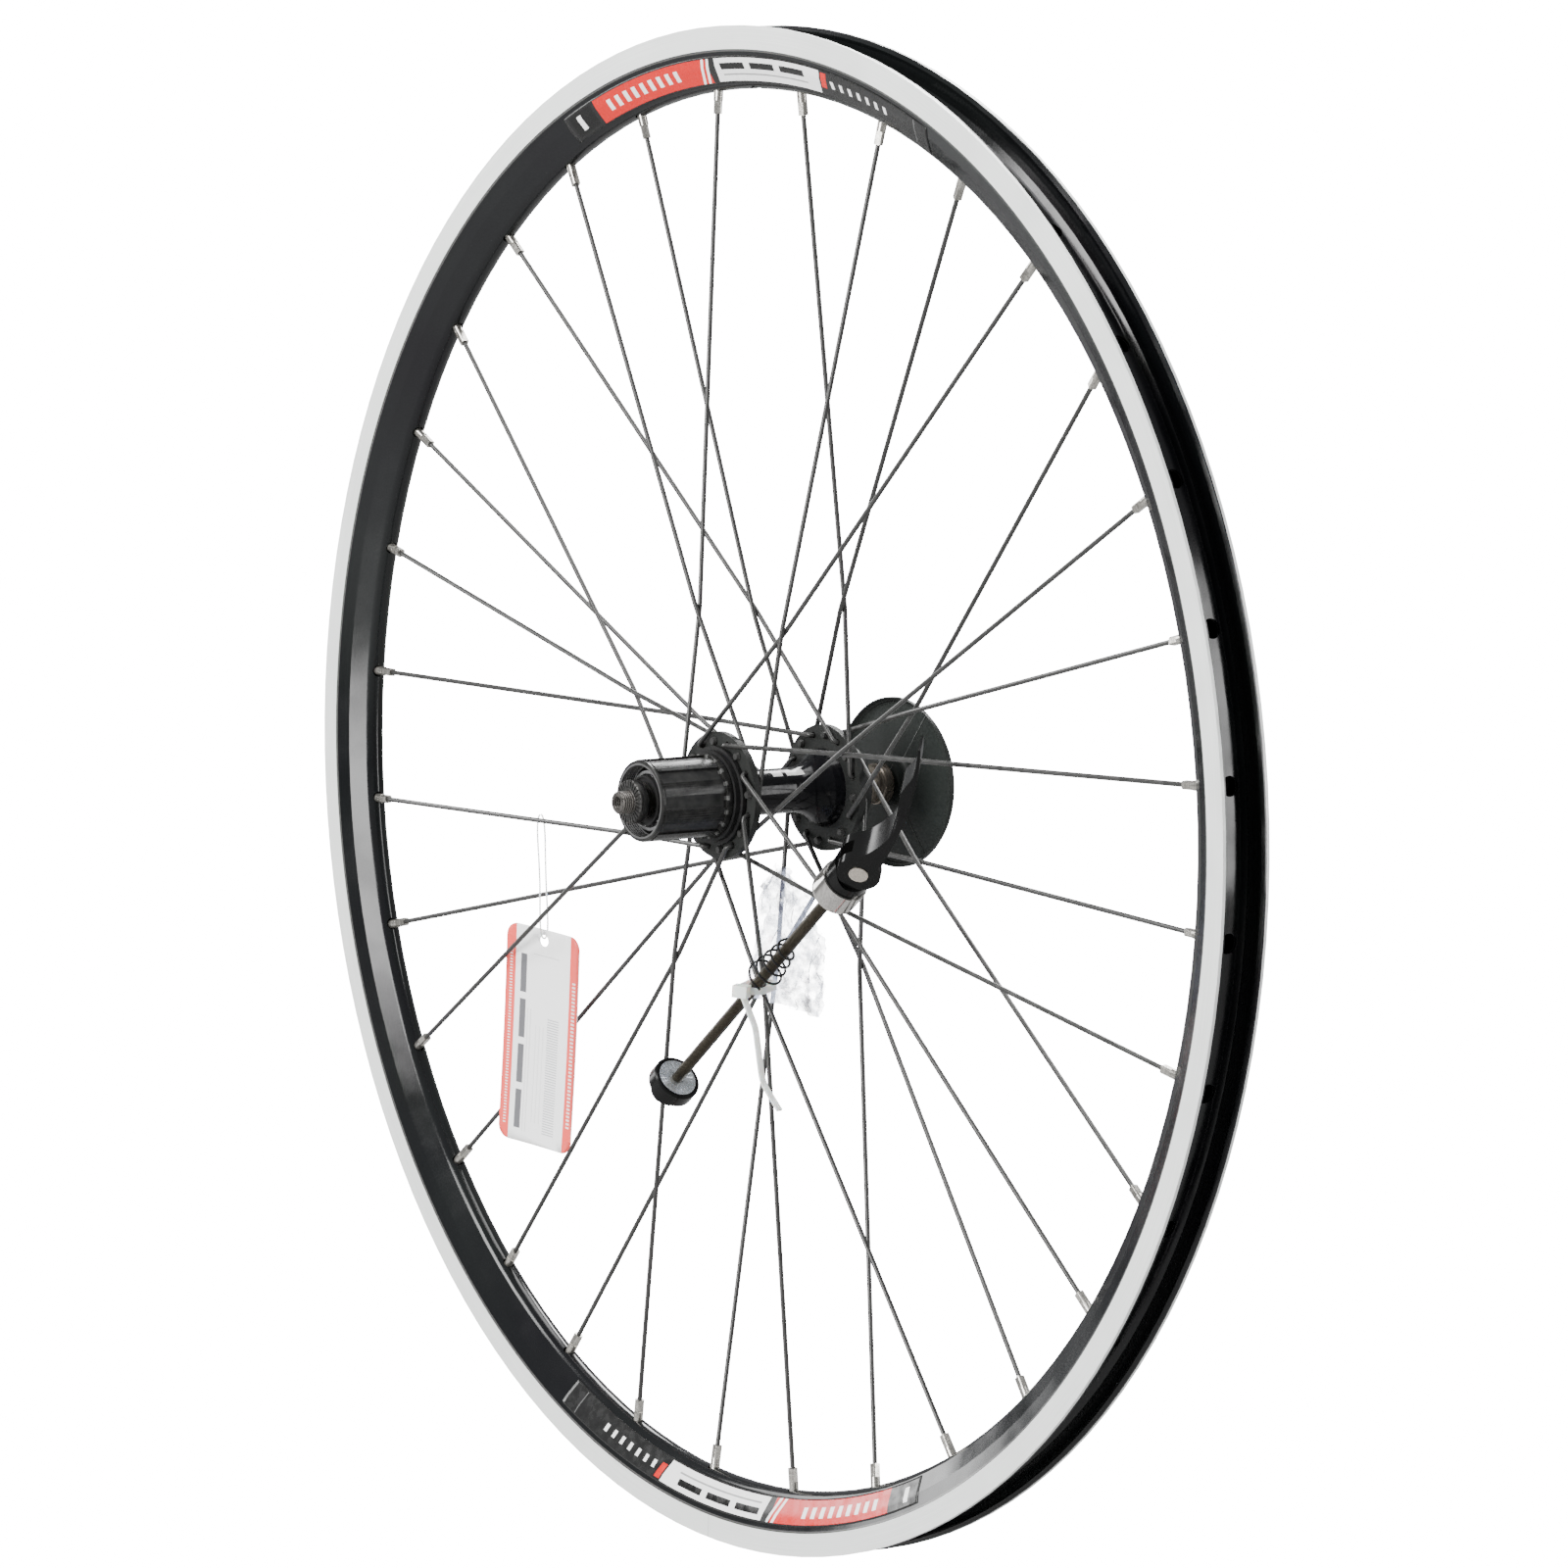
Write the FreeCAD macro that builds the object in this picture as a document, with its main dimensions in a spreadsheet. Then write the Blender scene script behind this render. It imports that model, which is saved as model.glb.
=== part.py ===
"""Bicycle rear wheel, 700C, 32 spokes, with a freehub and a quick-release skewer tied to it.

Frame: the origin is the centre of the wheel, on the axle's axis and in the rim's middle plane.
The axle runs along Y, with the drive side (freehub) at -Y, and +Z is up, at the valve hole.
"""
import FreeCAD, Part
import math
import os

import Sketcher
from FreeCAD import Matrix, Placement, Rotation, Vector

DOC = FreeCAD.newDocument("rear_wheel")
SHEET = DOC.addObject("Spreadsheet::Sheet", "Sizes")

# Driving dimensions in millimetres, degrees and counts. "ds" is the drive side, "nds" the other.
SIZES = {
    # rim
    "rim_outer_r": 317.0, "rim_half_width": 11.5, "track_inner_r": 307.2, "rim_apex_r": 291.0,
    "rim_wall": 1.2, "flange_wall": 2.1, "bead_shelf_r": 309.6, "well_floor_r": 308.0,
    "shoulder_r": 300.5, "shoulder_half": 8.8, "nose_r": 293.3, "nose_half": 4.45,
    "spoke_count": 32.0, "access_hole_r": 4.0, "nipple_hole_r": 2.6, "valve_hole_r": 3.25,
    "first_hole_deg": 5.625, "valve_deg": 90.0,
    # spokes and nipples
    "spoke_r": 1.0, "spoke_head_r": 1.85, "spoke_head_len": 1.5, "elbow_r": 2.0,
    "cross_count": 3.0, "spoke_circle_r": 22.5, "spoke_hole_r": 1.4, "inner_gap": 0.6, "outer_gap": 1.8,
    "nipple_r": 2.0, "nipple_flat": 3.3, "nipple_head_r": 3.0, "nipple_seat_r": 293.9,
    "nipple_tip_r": 281.8, "nipple_bore_r": 1.06, "cross_bend_r": 60.0,
    # hub shell
    "flange_r": 26.5, "flange_half": 1.5, "ds_flange_y": 18.3, "nds_flange_y": 35.4,
    "barrel_r": 9.5, "bell_r": 16.5, "hub_boss_r": 17.4, "hub_bore_r": 6.6,
    "ds_boss_end": 22.6, "nds_boss_end": 47.0, "cup_seat_r": 15.2, "cup_seat_y": 34.8,
    # axle set
    "axle_r": 4.9, "axle_end_r": 4.6, "axle_bore_r": 2.6, "axle_half": 70.5, "locknut_face": 65.0,
    "nds_ball_r": 3.175, "nds_ball_circle": 9.8, "nds_ball_y": 40.0, "ball_count": 9.0,
    "ds_ball_r": 2.38, "ds_ball_circle": 7.95, "ds_ball_y": 50.0, "cone_r": 8.4, "ds_cone_r": 7.5,
    # freehub
    "spline_r": 17.1, "groove_r": 16.1, "groove_width": 6.0, "spline_count": 9.0,
    "freehub_bore_r": 14.35, "freehub_out": 59.3, "freehub_in": 24.6, "core_r": 11.25,
    "roller_r": 1.5, "roller_circle": 12.8, "roller_count": 24.0, "ratchet_teeth": 24.0,
    "ratchet_r": 13.4, "pawl_len": 5.8,
    # quick-release skewer, in its own frame: Y from the nut to the lever, X along the cam's barrel
    "rod_r": 2.5, "nut_to_cup": 144.1, "nut_r": 10.3, "cup_r": 10.0, "cup_len": 11.5,
    "barrel_y": 25.4, "cam_head_r": 9.0, "lever_half": 7.5, "cam_barrel_r": 3.95,
    "spring_wire_r": 0.5,
    # protector disc
    "protector_r": 36.0, "protector_sleeve_r": 5.65, "protector_boss_r": 9.5,
    # things tied on
    "card_width": 44.0, "card_height": 97.0, "card_thick": 0.5, "tag_string_r": 0.4,
    "tie_thick": 1.1, "tie_width": 2.8,
}

SKEWER_AT = Vector(-29.1, -22.0, -124.1)
SKEWER_TILT = math.radians(39.13)
BARREL_TURN = math.radians(55.0)
TIED_SPOKES = (16, 18)
STRING_SPOKE = 26
STRING_X = -151.0


class Size(float):
    """A number that remembers the spreadsheet expression it was worked out from."""

    def __new__(cls, number, text=None):
        size = super().__new__(cls, number)
        size.text = text if text else "%.6f" % number
        return size

    def __neg__(self):
        return Size(-float(self), "(0 - %s)" % self.text)

    def __add__(self, other):
        return combine(self, "+", other)

    def __radd__(self, other):
        return combine(other, "+", self)

    def __sub__(self, other):
        return combine(self, "-", other)

    def __rsub__(self, other):
        return combine(other, "-", self)

    def __mul__(self, other):
        return combine(self, "*", other)

    def __rmul__(self, other):
        return combine(other, "*", self)

    def __truediv__(self, other):
        return combine(self, "/", other)


def combine(left, sign, right):
    """Return left sign right as a Size whose text repeats the sum."""
    first, second = float(left), float(right)
    number = {"+": first + second, "-": first - second, "*": first * second,
              "/": first / second if second else 0.0}[sign]
    texts = [side.text if isinstance(side, Size) else "%.6f" % side for side in (left, right)]
    return Size(number, "(%s %s %s)" % (texts[0], sign, texts[1]))


def fill_sheet():
    """Write the driving dimensions to the sheet and return them as Sizes by name."""
    known = {}
    for row, (alias, number) in enumerate(SIZES.items(), start=1):
        SHEET.set("A%d" % row, alias)
        SHEET.set("B%d" % row, "%g" % number)
        SHEET.setAlias("B%d" % row, alias)
        known[alias] = Size(number, "Sizes.%s" % alias)
    DOC.recompute()
    return known


S = fill_sheet()


def bind(thing, prop, size):
    """Set a property, through an expression where the size comes from the sheet."""
    if isinstance(size, Size):
        thing.setExpression(prop, size.text)
    else:
        setattr(thing, prop, size)


def origin_of(body, role):
    """Return one of the body's own origin planes or axes by its role."""
    return next(item for item in body.Origin.OriginFeatures if item.Role == role)


def new_body(label):
    """Add an empty PartDesign body."""
    body = DOC.addObject("PartDesign::Body", label)
    body.Label = label
    return body


def new_sketch(body, plane, name, offset=None):
    """Add a sketch on one of the body's origin planes."""
    sketch = body.newObject("Sketcher::SketchObject", name)
    sketch.AttachmentSupport = [(origin_of(body, plane), "")]
    sketch.MapMode = "FlatFace"
    if offset is not None:
        sketch.AttachmentOffset = offset
    return sketch


def pin_point(sketch, element, corner, x, y):
    """Hold one end of an element at (x, y) from the sketch's origin."""
    for kind, size in (("DistanceX", x), ("DistanceY", y)):
        if float(size) == 0.0:
            axis = -2 if kind == "DistanceX" else -1
            sketch.addConstraint(Sketcher.Constraint("PointOnObject", element, corner, axis))
            continue
        index = sketch.addConstraint(Sketcher.Constraint(kind, -1, 1, element, corner, float(size)))
        if isinstance(size, Size):
            sketch.setExpression("Constraints[%d]" % index, size.text)


def arc_through(start, end, radius, side):
    """Return the short arc from start to end; side +1 puts its centre on the left."""
    chord = end - start
    middle = (start + end) * 0.5
    left = Vector(-chord.y, chord.x, 0).normalize()
    rise = math.sqrt(max(radius ** 2 - (chord.Length / 2) ** 2, 0.0))
    top = middle - left * (side * (radius - rise))
    return Part.Arc(start, top, end)


def draw_outline(sketch, outline):
    """Draw a closed outline of (x, y) points; (x, y, r, side) is reached by an arc."""
    first = sketch.GeometryCount
    spots = [Vector(float(point[0]), float(point[1]), 0) for point in outline]
    count = len(outline)
    joints = []
    for index, point in enumerate(outline):
        start, end = spots[index - 1], spots[index]
        if len(point) == 4:
            sketch.addGeometry(arc_through(start, end, float(point[2]), point[3]))
        else:
            sketch.addGeometry(Part.LineSegment(start, end))
    for index, point in enumerate(outline):
        edge, following = first + index, first + (index + 1) % count
        end = corner_at(sketch, edge, spots[index])
        start = corner_at(sketch, following, spots[index])
        joint = Sketcher.Constraint("Coincident", edge, end, following, start)
        joints.append((joint, edge, end, point))
    for joint, edge, end, point in joints:
        sketch.addConstraint(joint)
        pin_point(sketch, edge, end, point[0], point[1])
        if len(point) == 4:
            held = sketch.addConstraint(Sketcher.Constraint("Radius", edge, float(point[2])))
            if isinstance(point[2], Size):
                sketch.setExpression("Constraints[%d]" % held, point[2].text)


def corner_at(sketch, edge, spot):
    """Return the number, 1 or 2, of the edge's end that lies at the spot."""
    return 1 if sketch.getPoint(edge, 1).distanceToPoint(spot) < 1e-4 else 2


def turned(label, outline, place=None):
    """Turn a closed (radius, y) outline about the Y axis."""
    body = new_body(label)
    sketch = new_sketch(body, "XY_Plane", label + "_outline")
    draw_outline(sketch, outline)
    DOC.recompute()
    feature = body.newObject("PartDesign::Revolution", label + "_turned")
    feature.Profile = sketch
    feature.ReferenceAxis = (sketch, ["V_Axis"])
    feature.Angle = 360.0
    sketch.Visibility = False
    if place is not None:
        body.Placement = place
    DOC.recompute()
    return body


def circle_cut(body, name, radius, height, place):
    """Cut a round hole along the placement's own Z axis."""
    cut = body.newObject("PartDesign::SubtractiveCylinder", name)
    bind(cut, "Radius", radius)
    bind(cut, "Height", height)
    cut.MapMode = "Deactivated"
    cut.Placement = place
    DOC.recompute()
    return cut


def box_cut(body, name, sides, place):
    """Cut a box with the given length, width and height from the placement's corner."""
    cut = body.newObject("PartDesign::SubtractiveBox", name)
    for prop, size in zip(("Length", "Width", "Height"), sides):
        bind(cut, prop, size)
    cut.MapMode = "Deactivated"
    cut.Placement = place
    DOC.recompute()
    return cut


def repeat(body, name, features, count):
    """Repeat cuts evenly about the Y axis."""
    pattern = body.newObject("PartDesign::PolarPattern", name)
    pattern.Originals = features
    pattern.Axis = (origin_of(body, "Y_Axis"), [""])
    pattern.Angle = 360.0
    bind(pattern, "Occurrences", count)
    body.Tip = pattern
    DOC.recompute()
    return pattern


def cut_through(body, name, outline, depth, y_start):
    """Cut an outline drawn in (x, z) towards +Y, from y_start for the depth."""
    before = body.Shape.Volume
    sketch = new_sketch(body, "XZ_Plane", name + "_outline",
                        Placement(Vector(0, 0, -float(y_start)), Rotation()))
    draw_outline(sketch, outline)
    DOC.recompute()
    cut = body.newObject("PartDesign::Pocket", name)
    cut.Profile = sketch
    bind(cut, "Length", depth)
    DOC.recompute()
    if body.Shape.Volume > before - 1e-3:
        cut.Reversed = True
        DOC.recompute()
    sketch.Visibility = False
    return cut


def padded(label, outline, thickness, place, plane="XY_Plane"):
    """Pad an outline evenly on both sides of its sketch plane."""
    body = new_body(label)
    sketch = new_sketch(body, plane, label + "_outline")
    draw_outline(sketch, outline)
    DOC.recompute()
    pad = body.newObject("PartDesign::Pad", label + "_pad")
    pad.Profile = sketch
    bind(pad, "Length", thickness)
    pad.Midplane = True
    sketch.Visibility = False
    body.Placement = place
    DOC.recompute()
    return body


def along_x(x, y, z=0.0, turn=0.0):
    """Place a cylinder so that it runs along +X from (x, y, z), turned about Y."""
    lying = Placement(Vector(x, y, z), Rotation(Vector(0, 1, 0), 90))
    return Placement(Vector(), Rotation(Vector(0, 1, 0), turn)).multiply(lying)


def along_y(x, y, z=0.0):
    """Place a cylinder so that it runs along +Y from (x, y, z)."""
    return Placement(Vector(x, y, z), Rotation(Vector(1, 0, 0), -90))


def feature(label, shape, place=None):
    """Add a piece whose shape is worked out in code, from the sheet's sizes."""
    item = DOC.addObject("Part::Feature", label)
    item.Label = label
    item.Shape = shape
    if place is not None:
        item.Placement = place
    return item


def rounded_path(points, radii):
    """Join straight runs by tangent arcs; radii has one entry for each inner point."""
    edges = []
    here = points[0]
    for index, radius in enumerate(radii, start=1):
        corner = points[index]
        back = (points[index - 1] - corner).normalize()
        ahead = (points[index + 1] - corner).normalize()
        half = back.getAngle(ahead) / 2
        reach = radius / math.tan(half)
        middle = (back + ahead).normalize()
        start, end = corner + back * reach, corner + ahead * reach
        top = corner + middle * (radius / math.sin(half) - radius)
        edges.append(Part.LineSegment(here, start).toShape())
        edges.append(Part.Arc(start, top, end).toShape())
        here = end
    edges.append(Part.LineSegment(here, points[-1]).toShape())
    return Part.Wire(edges)


def tube(points, radii, radius):
    """Sweep a round section along straight runs joined by arcs."""
    path = rounded_path(points, radii)
    start = points[0]
    section = Part.Wire([Part.makeCircle(radius, start, points[1] - start)])
    return path.makePipe(Part.Face(section))


# ---------------------------------------------------------------- rim

def make_rim():
    """Double-wall rim section turned about the axle, with its holes."""
    hw, wall = S["rim_half_width"], S["rim_wall"]
    seat_half = hw - S["flange_wall"]
    right = [(S["rim_outer_r"], seat_half), (S["rim_outer_r"], hw), (S["track_inner_r"], hw),
             (S["shoulder_r"], S["shoulder_half"]), (S["nose_r"], S["nose_half"])]
    bead = [(S["well_floor_r"], 4.6), (S["bead_shelf_r"] + 0.6, 6.2), (S["bead_shelf_r"], 7.2),
            (S["bead_shelf_r"], seat_half), (S["rim_outer_r"] - 3.2, seat_half),
            (S["rim_outer_r"] - 1.6, seat_half - 0.7)]
    left = [(point[0], -point[1]) for point in reversed(right)]
    left_bead = [(point[0], -point[1]) for point in reversed(bead)]
    nose = [(S["nose_r"], -S["nose_half"], Size(5.5), 1)]
    outline = right + nose + left[1:] + left_bead + bead
    body = new_body("rim")
    sketch = new_sketch(body, "XY_Plane", "rim_section")
    draw_outline(sketch, outline)
    top, bottom = S["well_floor_r"] - wall, S["rim_apex_r"] + 2.8
    cavity = [(top, hw - wall - 0.9), (S["shoulder_r"] + 0.6, S["shoulder_half"] - wall),
              (bottom, S["nose_half"] - wall)]
    draw_outline(sketch, cavity + [(point[0], -point[1]) for point in reversed(cavity)])
    DOC.recompute()
    ring = body.newObject("PartDesign::Revolution", "rim_turned")
    ring.Profile = sketch
    ring.ReferenceAxis = (sketch, ["V_Axis"])
    ring.Angle = 360.0
    DOC.recompute()
    turn = -(S["valve_deg"] - S["first_hole_deg"])
    circle_cut(body, "valve_hole", S["valve_hole_r"], 30.0, along_x(287.0, 0.0, 0.0, float(turn)))
    access = circle_cut(body, "access_hole", S["access_hole_r"], 8.0, along_x(304.0, 0.0))
    repeat(body, "access_holes", [access], S["spoke_count"])
    nipple = circle_cut(body, "nipple_hole", S["nipple_hole_r"], 10.0, along_x(288.0, 0.0))
    repeat(body, "nipple_holes", [nipple], S["spoke_count"])
    body.Placement = Placement(Vector(), Rotation(Vector(0, 1, 0), -float(S["first_hole_deg"])))
    DOC.recompute()
    return body


# ---------------------------------------------------------------- hub shell and axle set

def make_hub_shell():
    """Barrel and two drilled flanges, turned in one piece."""
    half, flange_r, boss = S["flange_half"], S["flange_r"], S["hub_boss_r"]
    ds, nds = S["ds_flange_y"], S["nds_flange_y"]
    outline = [
        (S["hub_bore_r"], S["cup_seat_y"] - 1.4), (S["hub_bore_r"], -9.0), (Size(7.95), -9.0),
        (Size(7.95), -S["ds_boss_end"]), (boss, -S["ds_boss_end"]), (boss, -(ds + half)),
        (flange_r, -(ds + half)), (flange_r, -(ds - half)), (S["bell_r"], -(ds - half)),
        (S["barrel_r"], -9.0, Size(8.6), -1), (S["barrel_r"], 14.0),
        (S["bell_r"] - 1.6, nds - half - 4.0, Size(19.0), -1), (S["bell_r"], nds - half),
        (flange_r, nds - half), (flange_r, nds + half), (boss, nds + half),
        (boss, S["nds_boss_end"]), (S["cup_seat_r"], S["nds_boss_end"]),
        (S["cup_seat_r"], S["cup_seat_y"]), (Size(11.0), S["cup_seat_y"]),
        (Size(11.0), S["cup_seat_y"] - 1.4)]
    body = turned("hub_shell", outline)
    pitch = 360.0 / S["spoke_count"]
    first = S["valve_deg"] + pitch * 2.5
    for name, y, shift in (("ds_spoke_hole", -ds, 0.0), ("nds_spoke_hole", nds, 1.0)):
        angle = math.radians(float(first - pitch * shift))
        spot = along_y(float(S["spoke_circle_r"]) * math.cos(angle), float(y) - 3.0,
                       float(S["spoke_circle_r"]) * math.sin(angle))
        hole = circle_cut(body, name, S["spoke_hole_r"], 6.0, spot)
        repeat(body, name + "s", [hole], S["spoke_count"] / 2)
    return body


def make_axle():
    """Hollow axle, turned down a little at the end that sits in the drive-side dropout."""
    end, bore, radius = S["axle_half"], S["axle_bore_r"], S["axle_r"]
    tip, step, bevel = S["axle_end_r"], S["locknut_face"] + 0.2, 0.5
    return turned("axle", [
        (bore, end), (radius - bevel, end), (radius, end - bevel), (radius, -step), (tip, -step),
        (tip, -(end - bevel)), (tip - bevel, -end), (bore, -end)])


def make_nds_axle_parts():
    """Cone, spacer, washer and locknut on the non-drive side."""
    y0, inner = S["nds_ball_y"], Size(5.0)
    cone = turned("nds_cone", [(inner, y0 - 3.4), (Size(5.9), y0 - 3.4), (Size(5.9), y0),
                               (S["cone_r"], y0 + 3.7), (S["cone_r"], Size(54.0)), (inner, Size(54.0))])
    for name, z in (("upper_flat", 7.5), ("lower_flat", -10.5)):
        box_cut(cone, name, (20.0, 3.0, 3.0), Placement(Vector(-10.0, 50.0, z), Rotation()))
    turned("nds_spacer", [(inner, 54.0), (8.1, 54.0), (8.1, 58.6), (inner, 58.6)])
    turned("nds_washer", [(inner, 58.6), (8.4, 58.6), (8.4, 60.2), (inner, 60.2)])
    nut = turned("nds_locknut", [(inner, 60.2), (8.0, 60.2), (8.7, 60.9), (8.7, S["locknut_face"]),
                                 (inner, S["locknut_face"])])
    tooth = box_cut(nut, "serration", (3.6, 0.5, 0.5),
                    Placement(Vector(5.4, 64.6, -0.25), Rotation()))
    repeat(nut, "serrations", [tooth], 24)


def make_ds_axle_parts():
    """Cone with its cover, spacer and serrated locknut on the drive side."""
    y0, inner = S["ds_ball_y"], Size(4.95)
    turned("ds_cone", [(inner, -(y0 + 0.4)), (Size(5.28), -(y0 + 0.4)), (S["ds_cone_r"], -(y0 + 3.7)),
                       (S["ds_cone_r"], -(y0 + 7.5)), (inner, -(y0 + 7.5))])
    turned("ds_cone_cover", [(S["ds_cone_r"], -55.4), (10.4, -55.4), (10.4, -57.2), (9.7, -57.2),
                             (9.7, -56.5), (S["ds_cone_r"], -56.5)])
    turned("ds_spacer", [(inner, -57.5), (7.0, -57.5), (7.0, -60.4), (inner, -60.4)])
    nut = turned("ds_locknut", [(inner, -60.4), (8.4, -60.4), (9.0, -61.0), (9.0, -64.6),
                                (8.6, -S["locknut_face"]), (inner, -S["locknut_face"])])
    tooth = box_cut(nut, "serration", (4.0, 0.6, 0.5),
                    Placement(Vector(5.6, -65.1, -0.25), Rotation()))
    repeat(nut, "serrations", [tooth], 28)


def make_bearings():
    """Pressed cup, dust cap and the two rings of balls."""
    y0 = S["nds_ball_y"]
    turned("nds_cup", [(11.2, S["cup_seat_y"]), (11.2, y0 - 3.7), (13.7, y0), (13.9, y0 + 5.0),
                       (S["cup_seat_r"], y0 + 5.0), (S["cup_seat_r"], S["cup_seat_y"])])
    turned("nds_dust_cap", [(S["cone_r"] + 0.5, 45.9), (14.4, 45.9), (14.4, 45.0),
                            (S["cup_seat_r"], 45.0), (S["cup_seat_r"], 46.7), (S["cone_r"] + 0.5, 46.7)])
    for label, y, circle, radius in (("nds_balls", y0, S["nds_ball_circle"], S["nds_ball_r"]),
                                     ("ds_balls", -S["ds_ball_y"], S["ds_ball_circle"], S["ds_ball_r"])):
        feature(label, ball_ring(S["ball_count"], circle, radius, y))


def ball_ring(count, circle, radius, y):
    """Return a ring of separate balls about the Y axis."""
    balls = []
    for index in range(int(count)):
        angle = 2 * math.pi * index / int(count)
        centre = Vector(circle * math.cos(angle), y, circle * math.sin(angle))
        balls.append(Part.makeSphere(radius, centre))
    return Part.makeCompound(balls)


# ---------------------------------------------------------------- freehub

def make_freehub():
    """Splined body, the core it runs on, its fixing bolt, rollers, seals and pawls."""
    bore, out, end = S["freehub_bore_r"], S["freehub_out"], S["freehub_in"]
    body = turned("freehub_body", [
        (14.8, -out), (16.4, -out), (16.8, -(out - 0.4)), (16.8, -(out - 1.6)),
        (S["spline_r"], -(out - 1.6)), (S["spline_r"], -(end + 2.6)), (17.7, -(end + 2.6)),
        (17.7, -end), (bore, -end), (bore, -32.0), (S["ratchet_r"], -32.0), (S["ratchet_r"], -38.0),
        (bore, -38.0), (bore, -(out - 6.0)), (14.8, -(out - 6.0))])
    groove = box_cut(body, "groove", (3.0, out - end - 4.2, S["groove_width"]),
                     Placement(Vector(16.1, -float(out) + 1.6, -3.0), Rotation()))
    repeat(body, "grooves", [groove], S["spline_count"])
    gullet = cut_through(body, "gullet", [(14.45, -2.08), (13.1, -2.08), (13.2, 1.0)], 5.8, -37.9)
    repeat(body, "ratchet", [gullet], S["ratchet_teeth"])
    core = turned("freehub_core", [
        (8.0, -22.6), (8.0, -44.0), (9.15, -44.0), (9.15, -47.43), (10.88, -S["ds_ball_y"]),
        (11.2, -55.0), (12.4, -55.0), (12.4, -45.4), (S["core_r"], -45.4), (S["core_r"], -22.6)])
    for name, side in (("pawl_seat_a", 1.0), ("pawl_seat_b", -1.0)):
        corner = Vector(8.4, -38.2, -3.4) if side > 0 else Vector(-12.4, -38.2, -5.1)
        box_cut(core, name, (4.0, 6.4, 8.5), Placement(corner, Rotation()))
    turned("freehub_bolt", [(5.7, -9.5), (5.7, -47.0), (9.0, -47.0), (9.0, -44.0), (7.9, -44.0),
                            (7.9, -9.5)])
    for label, y in (("outer_rollers", -42.0), ("inner_rollers", -28.0)):
        feature(label, ball_ring(S["roller_count"], S["roller_circle"], S["roller_r"], y))
    turned("freehub_dust_ring", [(17.5, -20.2), (20.6, -20.2), (20.6, -21.9), (19.0, -21.9),
                                 (19.0, -24.2), (17.5, -24.2)])
    make_pawls()


def make_pawls():
    """Two pawls on opposite sides of the core, each with a round root that it pivots on."""
    root = Part.makeCylinder(1.15, S["pawl_len"], Vector(9.8, 0, 3.2), Vector(0, 1, 0))
    corners = [(10.9, 3.6), (13.25, 0.2), (13.95, -1.35), (13.2, -2.0), (9.2, 2.2)]
    ring = [Vector(x, 0, z) for x, z in corners]
    arm = Part.Face(Part.makePolygon(ring + ring[:1])).extrude(Vector(0, S["pawl_len"], 0))
    pawl = root.fuse(arm).removeSplitter()
    for label, turn in (("pawl_a", 0.0), ("pawl_b", 180.0)):
        place = Placement(Vector(0, -37.9, 0), Rotation(Vector(0, 1, 0), turn))
        feature(label, pawl.copy(), place)


# ---------------------------------------------------------------- spokes and nipples

def polar(radius, degrees, y):
    """Return the point at a radius and an angle from +X towards +Z."""
    angle = math.radians(degrees)
    return Vector(radius * math.cos(angle), y, radius * math.sin(angle))


def spoke_angle(index):
    """Return the rim angle of a spoke; the valve lies half way between numbers 2 and 3."""
    pitch = 360.0 / float(S["spoke_count"])
    return float(S["valve_deg"]) + pitch * (2.5 - index)


def spoke_kind(index):
    """Return the side, whether the run is on the flange's inner face, and the hub's hole."""
    drive = index % 2 == 0
    inner = index % 4 in (0, 3)
    shift = 2 * int(S["cross_count"]) * (1 if inner else -1)
    return drive, inner, index + shift


def spoke_points(index):
    """Return the spoke's head, elbow corner, crossing and end."""
    drive, inner, hole = spoke_kind(index)
    outward = -1.0 if drive else 1.0
    flange = float(S["ds_flange_y"] if drive else S["nds_flange_y"])
    half, face = float(S["flange_half"]), -1.0 if inner else 1.0
    reach = float(S["spoke_r"] + S["inner_gap" if inner else "outer_gap"])
    run_y = outward * (flange + face * (half + reach))
    head_y = outward * (flange - face * (half + 0.25))
    angle = spoke_angle(hole)
    radius = float(S["spoke_circle_r"])
    rim_end = polar(float(S["nipple_seat_r"]), spoke_angle(index), 0.0)
    corner = polar(radius, angle, run_y)
    middle = crossing_point(corner, rim_end, index, outward, inner)
    return polar(radius, angle, head_y), corner, middle, rim_end


def crossing_point(corner, rim_end, index, outward, inner):
    """Return where the spoke meets its last crossing, pulled aside to pass the other spoke."""
    partner = index + (2 if inner else -2)
    other_hole = spoke_kind(partner)[2]
    radius = float(S["spoke_circle_r"])
    other_start = polar(radius, spoke_angle(other_hole), 0.0)
    other_end = polar(float(S["nipple_seat_r"]), spoke_angle(partner), 0.0)
    share = crossing_share(corner, rim_end, other_start, other_end)
    flange = float(S["ds_flange_y"] if outward < 0 else S["nds_flange_y"])
    level = outward * flange * (1.0 - share)
    apart = 1.12 if inner else -1.12
    spot = corner + (rim_end - corner) * share
    return Vector(spot.x, level + outward * apart, spot.z)


def crossing_share(start, end, other_start, other_end):
    """Return how far along the first line it crosses the second, seen along Y."""
    dx, dz = end.x - start.x, end.z - start.z
    ex, ez = other_end.x - other_start.x, other_end.z - other_start.z
    gap_x, gap_z = other_start.x - start.x, other_start.z - start.z
    return (gap_x * ez - gap_z * ex) / (dx * ez - dz * ex)


def make_spoke(index):
    """Return one spoke: round head, elbow and a run that bends slightly at its last crossing."""
    head, corner, middle, end = spoke_points(index)
    run = (end - middle).normalize()
    tip = end - run * 1.2
    wire = tube([head, corner, middle, tip], [S["elbow_r"], S["cross_bend_r"]], S["spoke_r"])
    through = (corner - head).normalize()
    button = Part.makeCone(S["spoke_head_r"] * 0.72, S["spoke_head_r"], S["spoke_head_len"],
                           head - through * S["spoke_head_len"], through)
    return wire.fuse(button)


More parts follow.
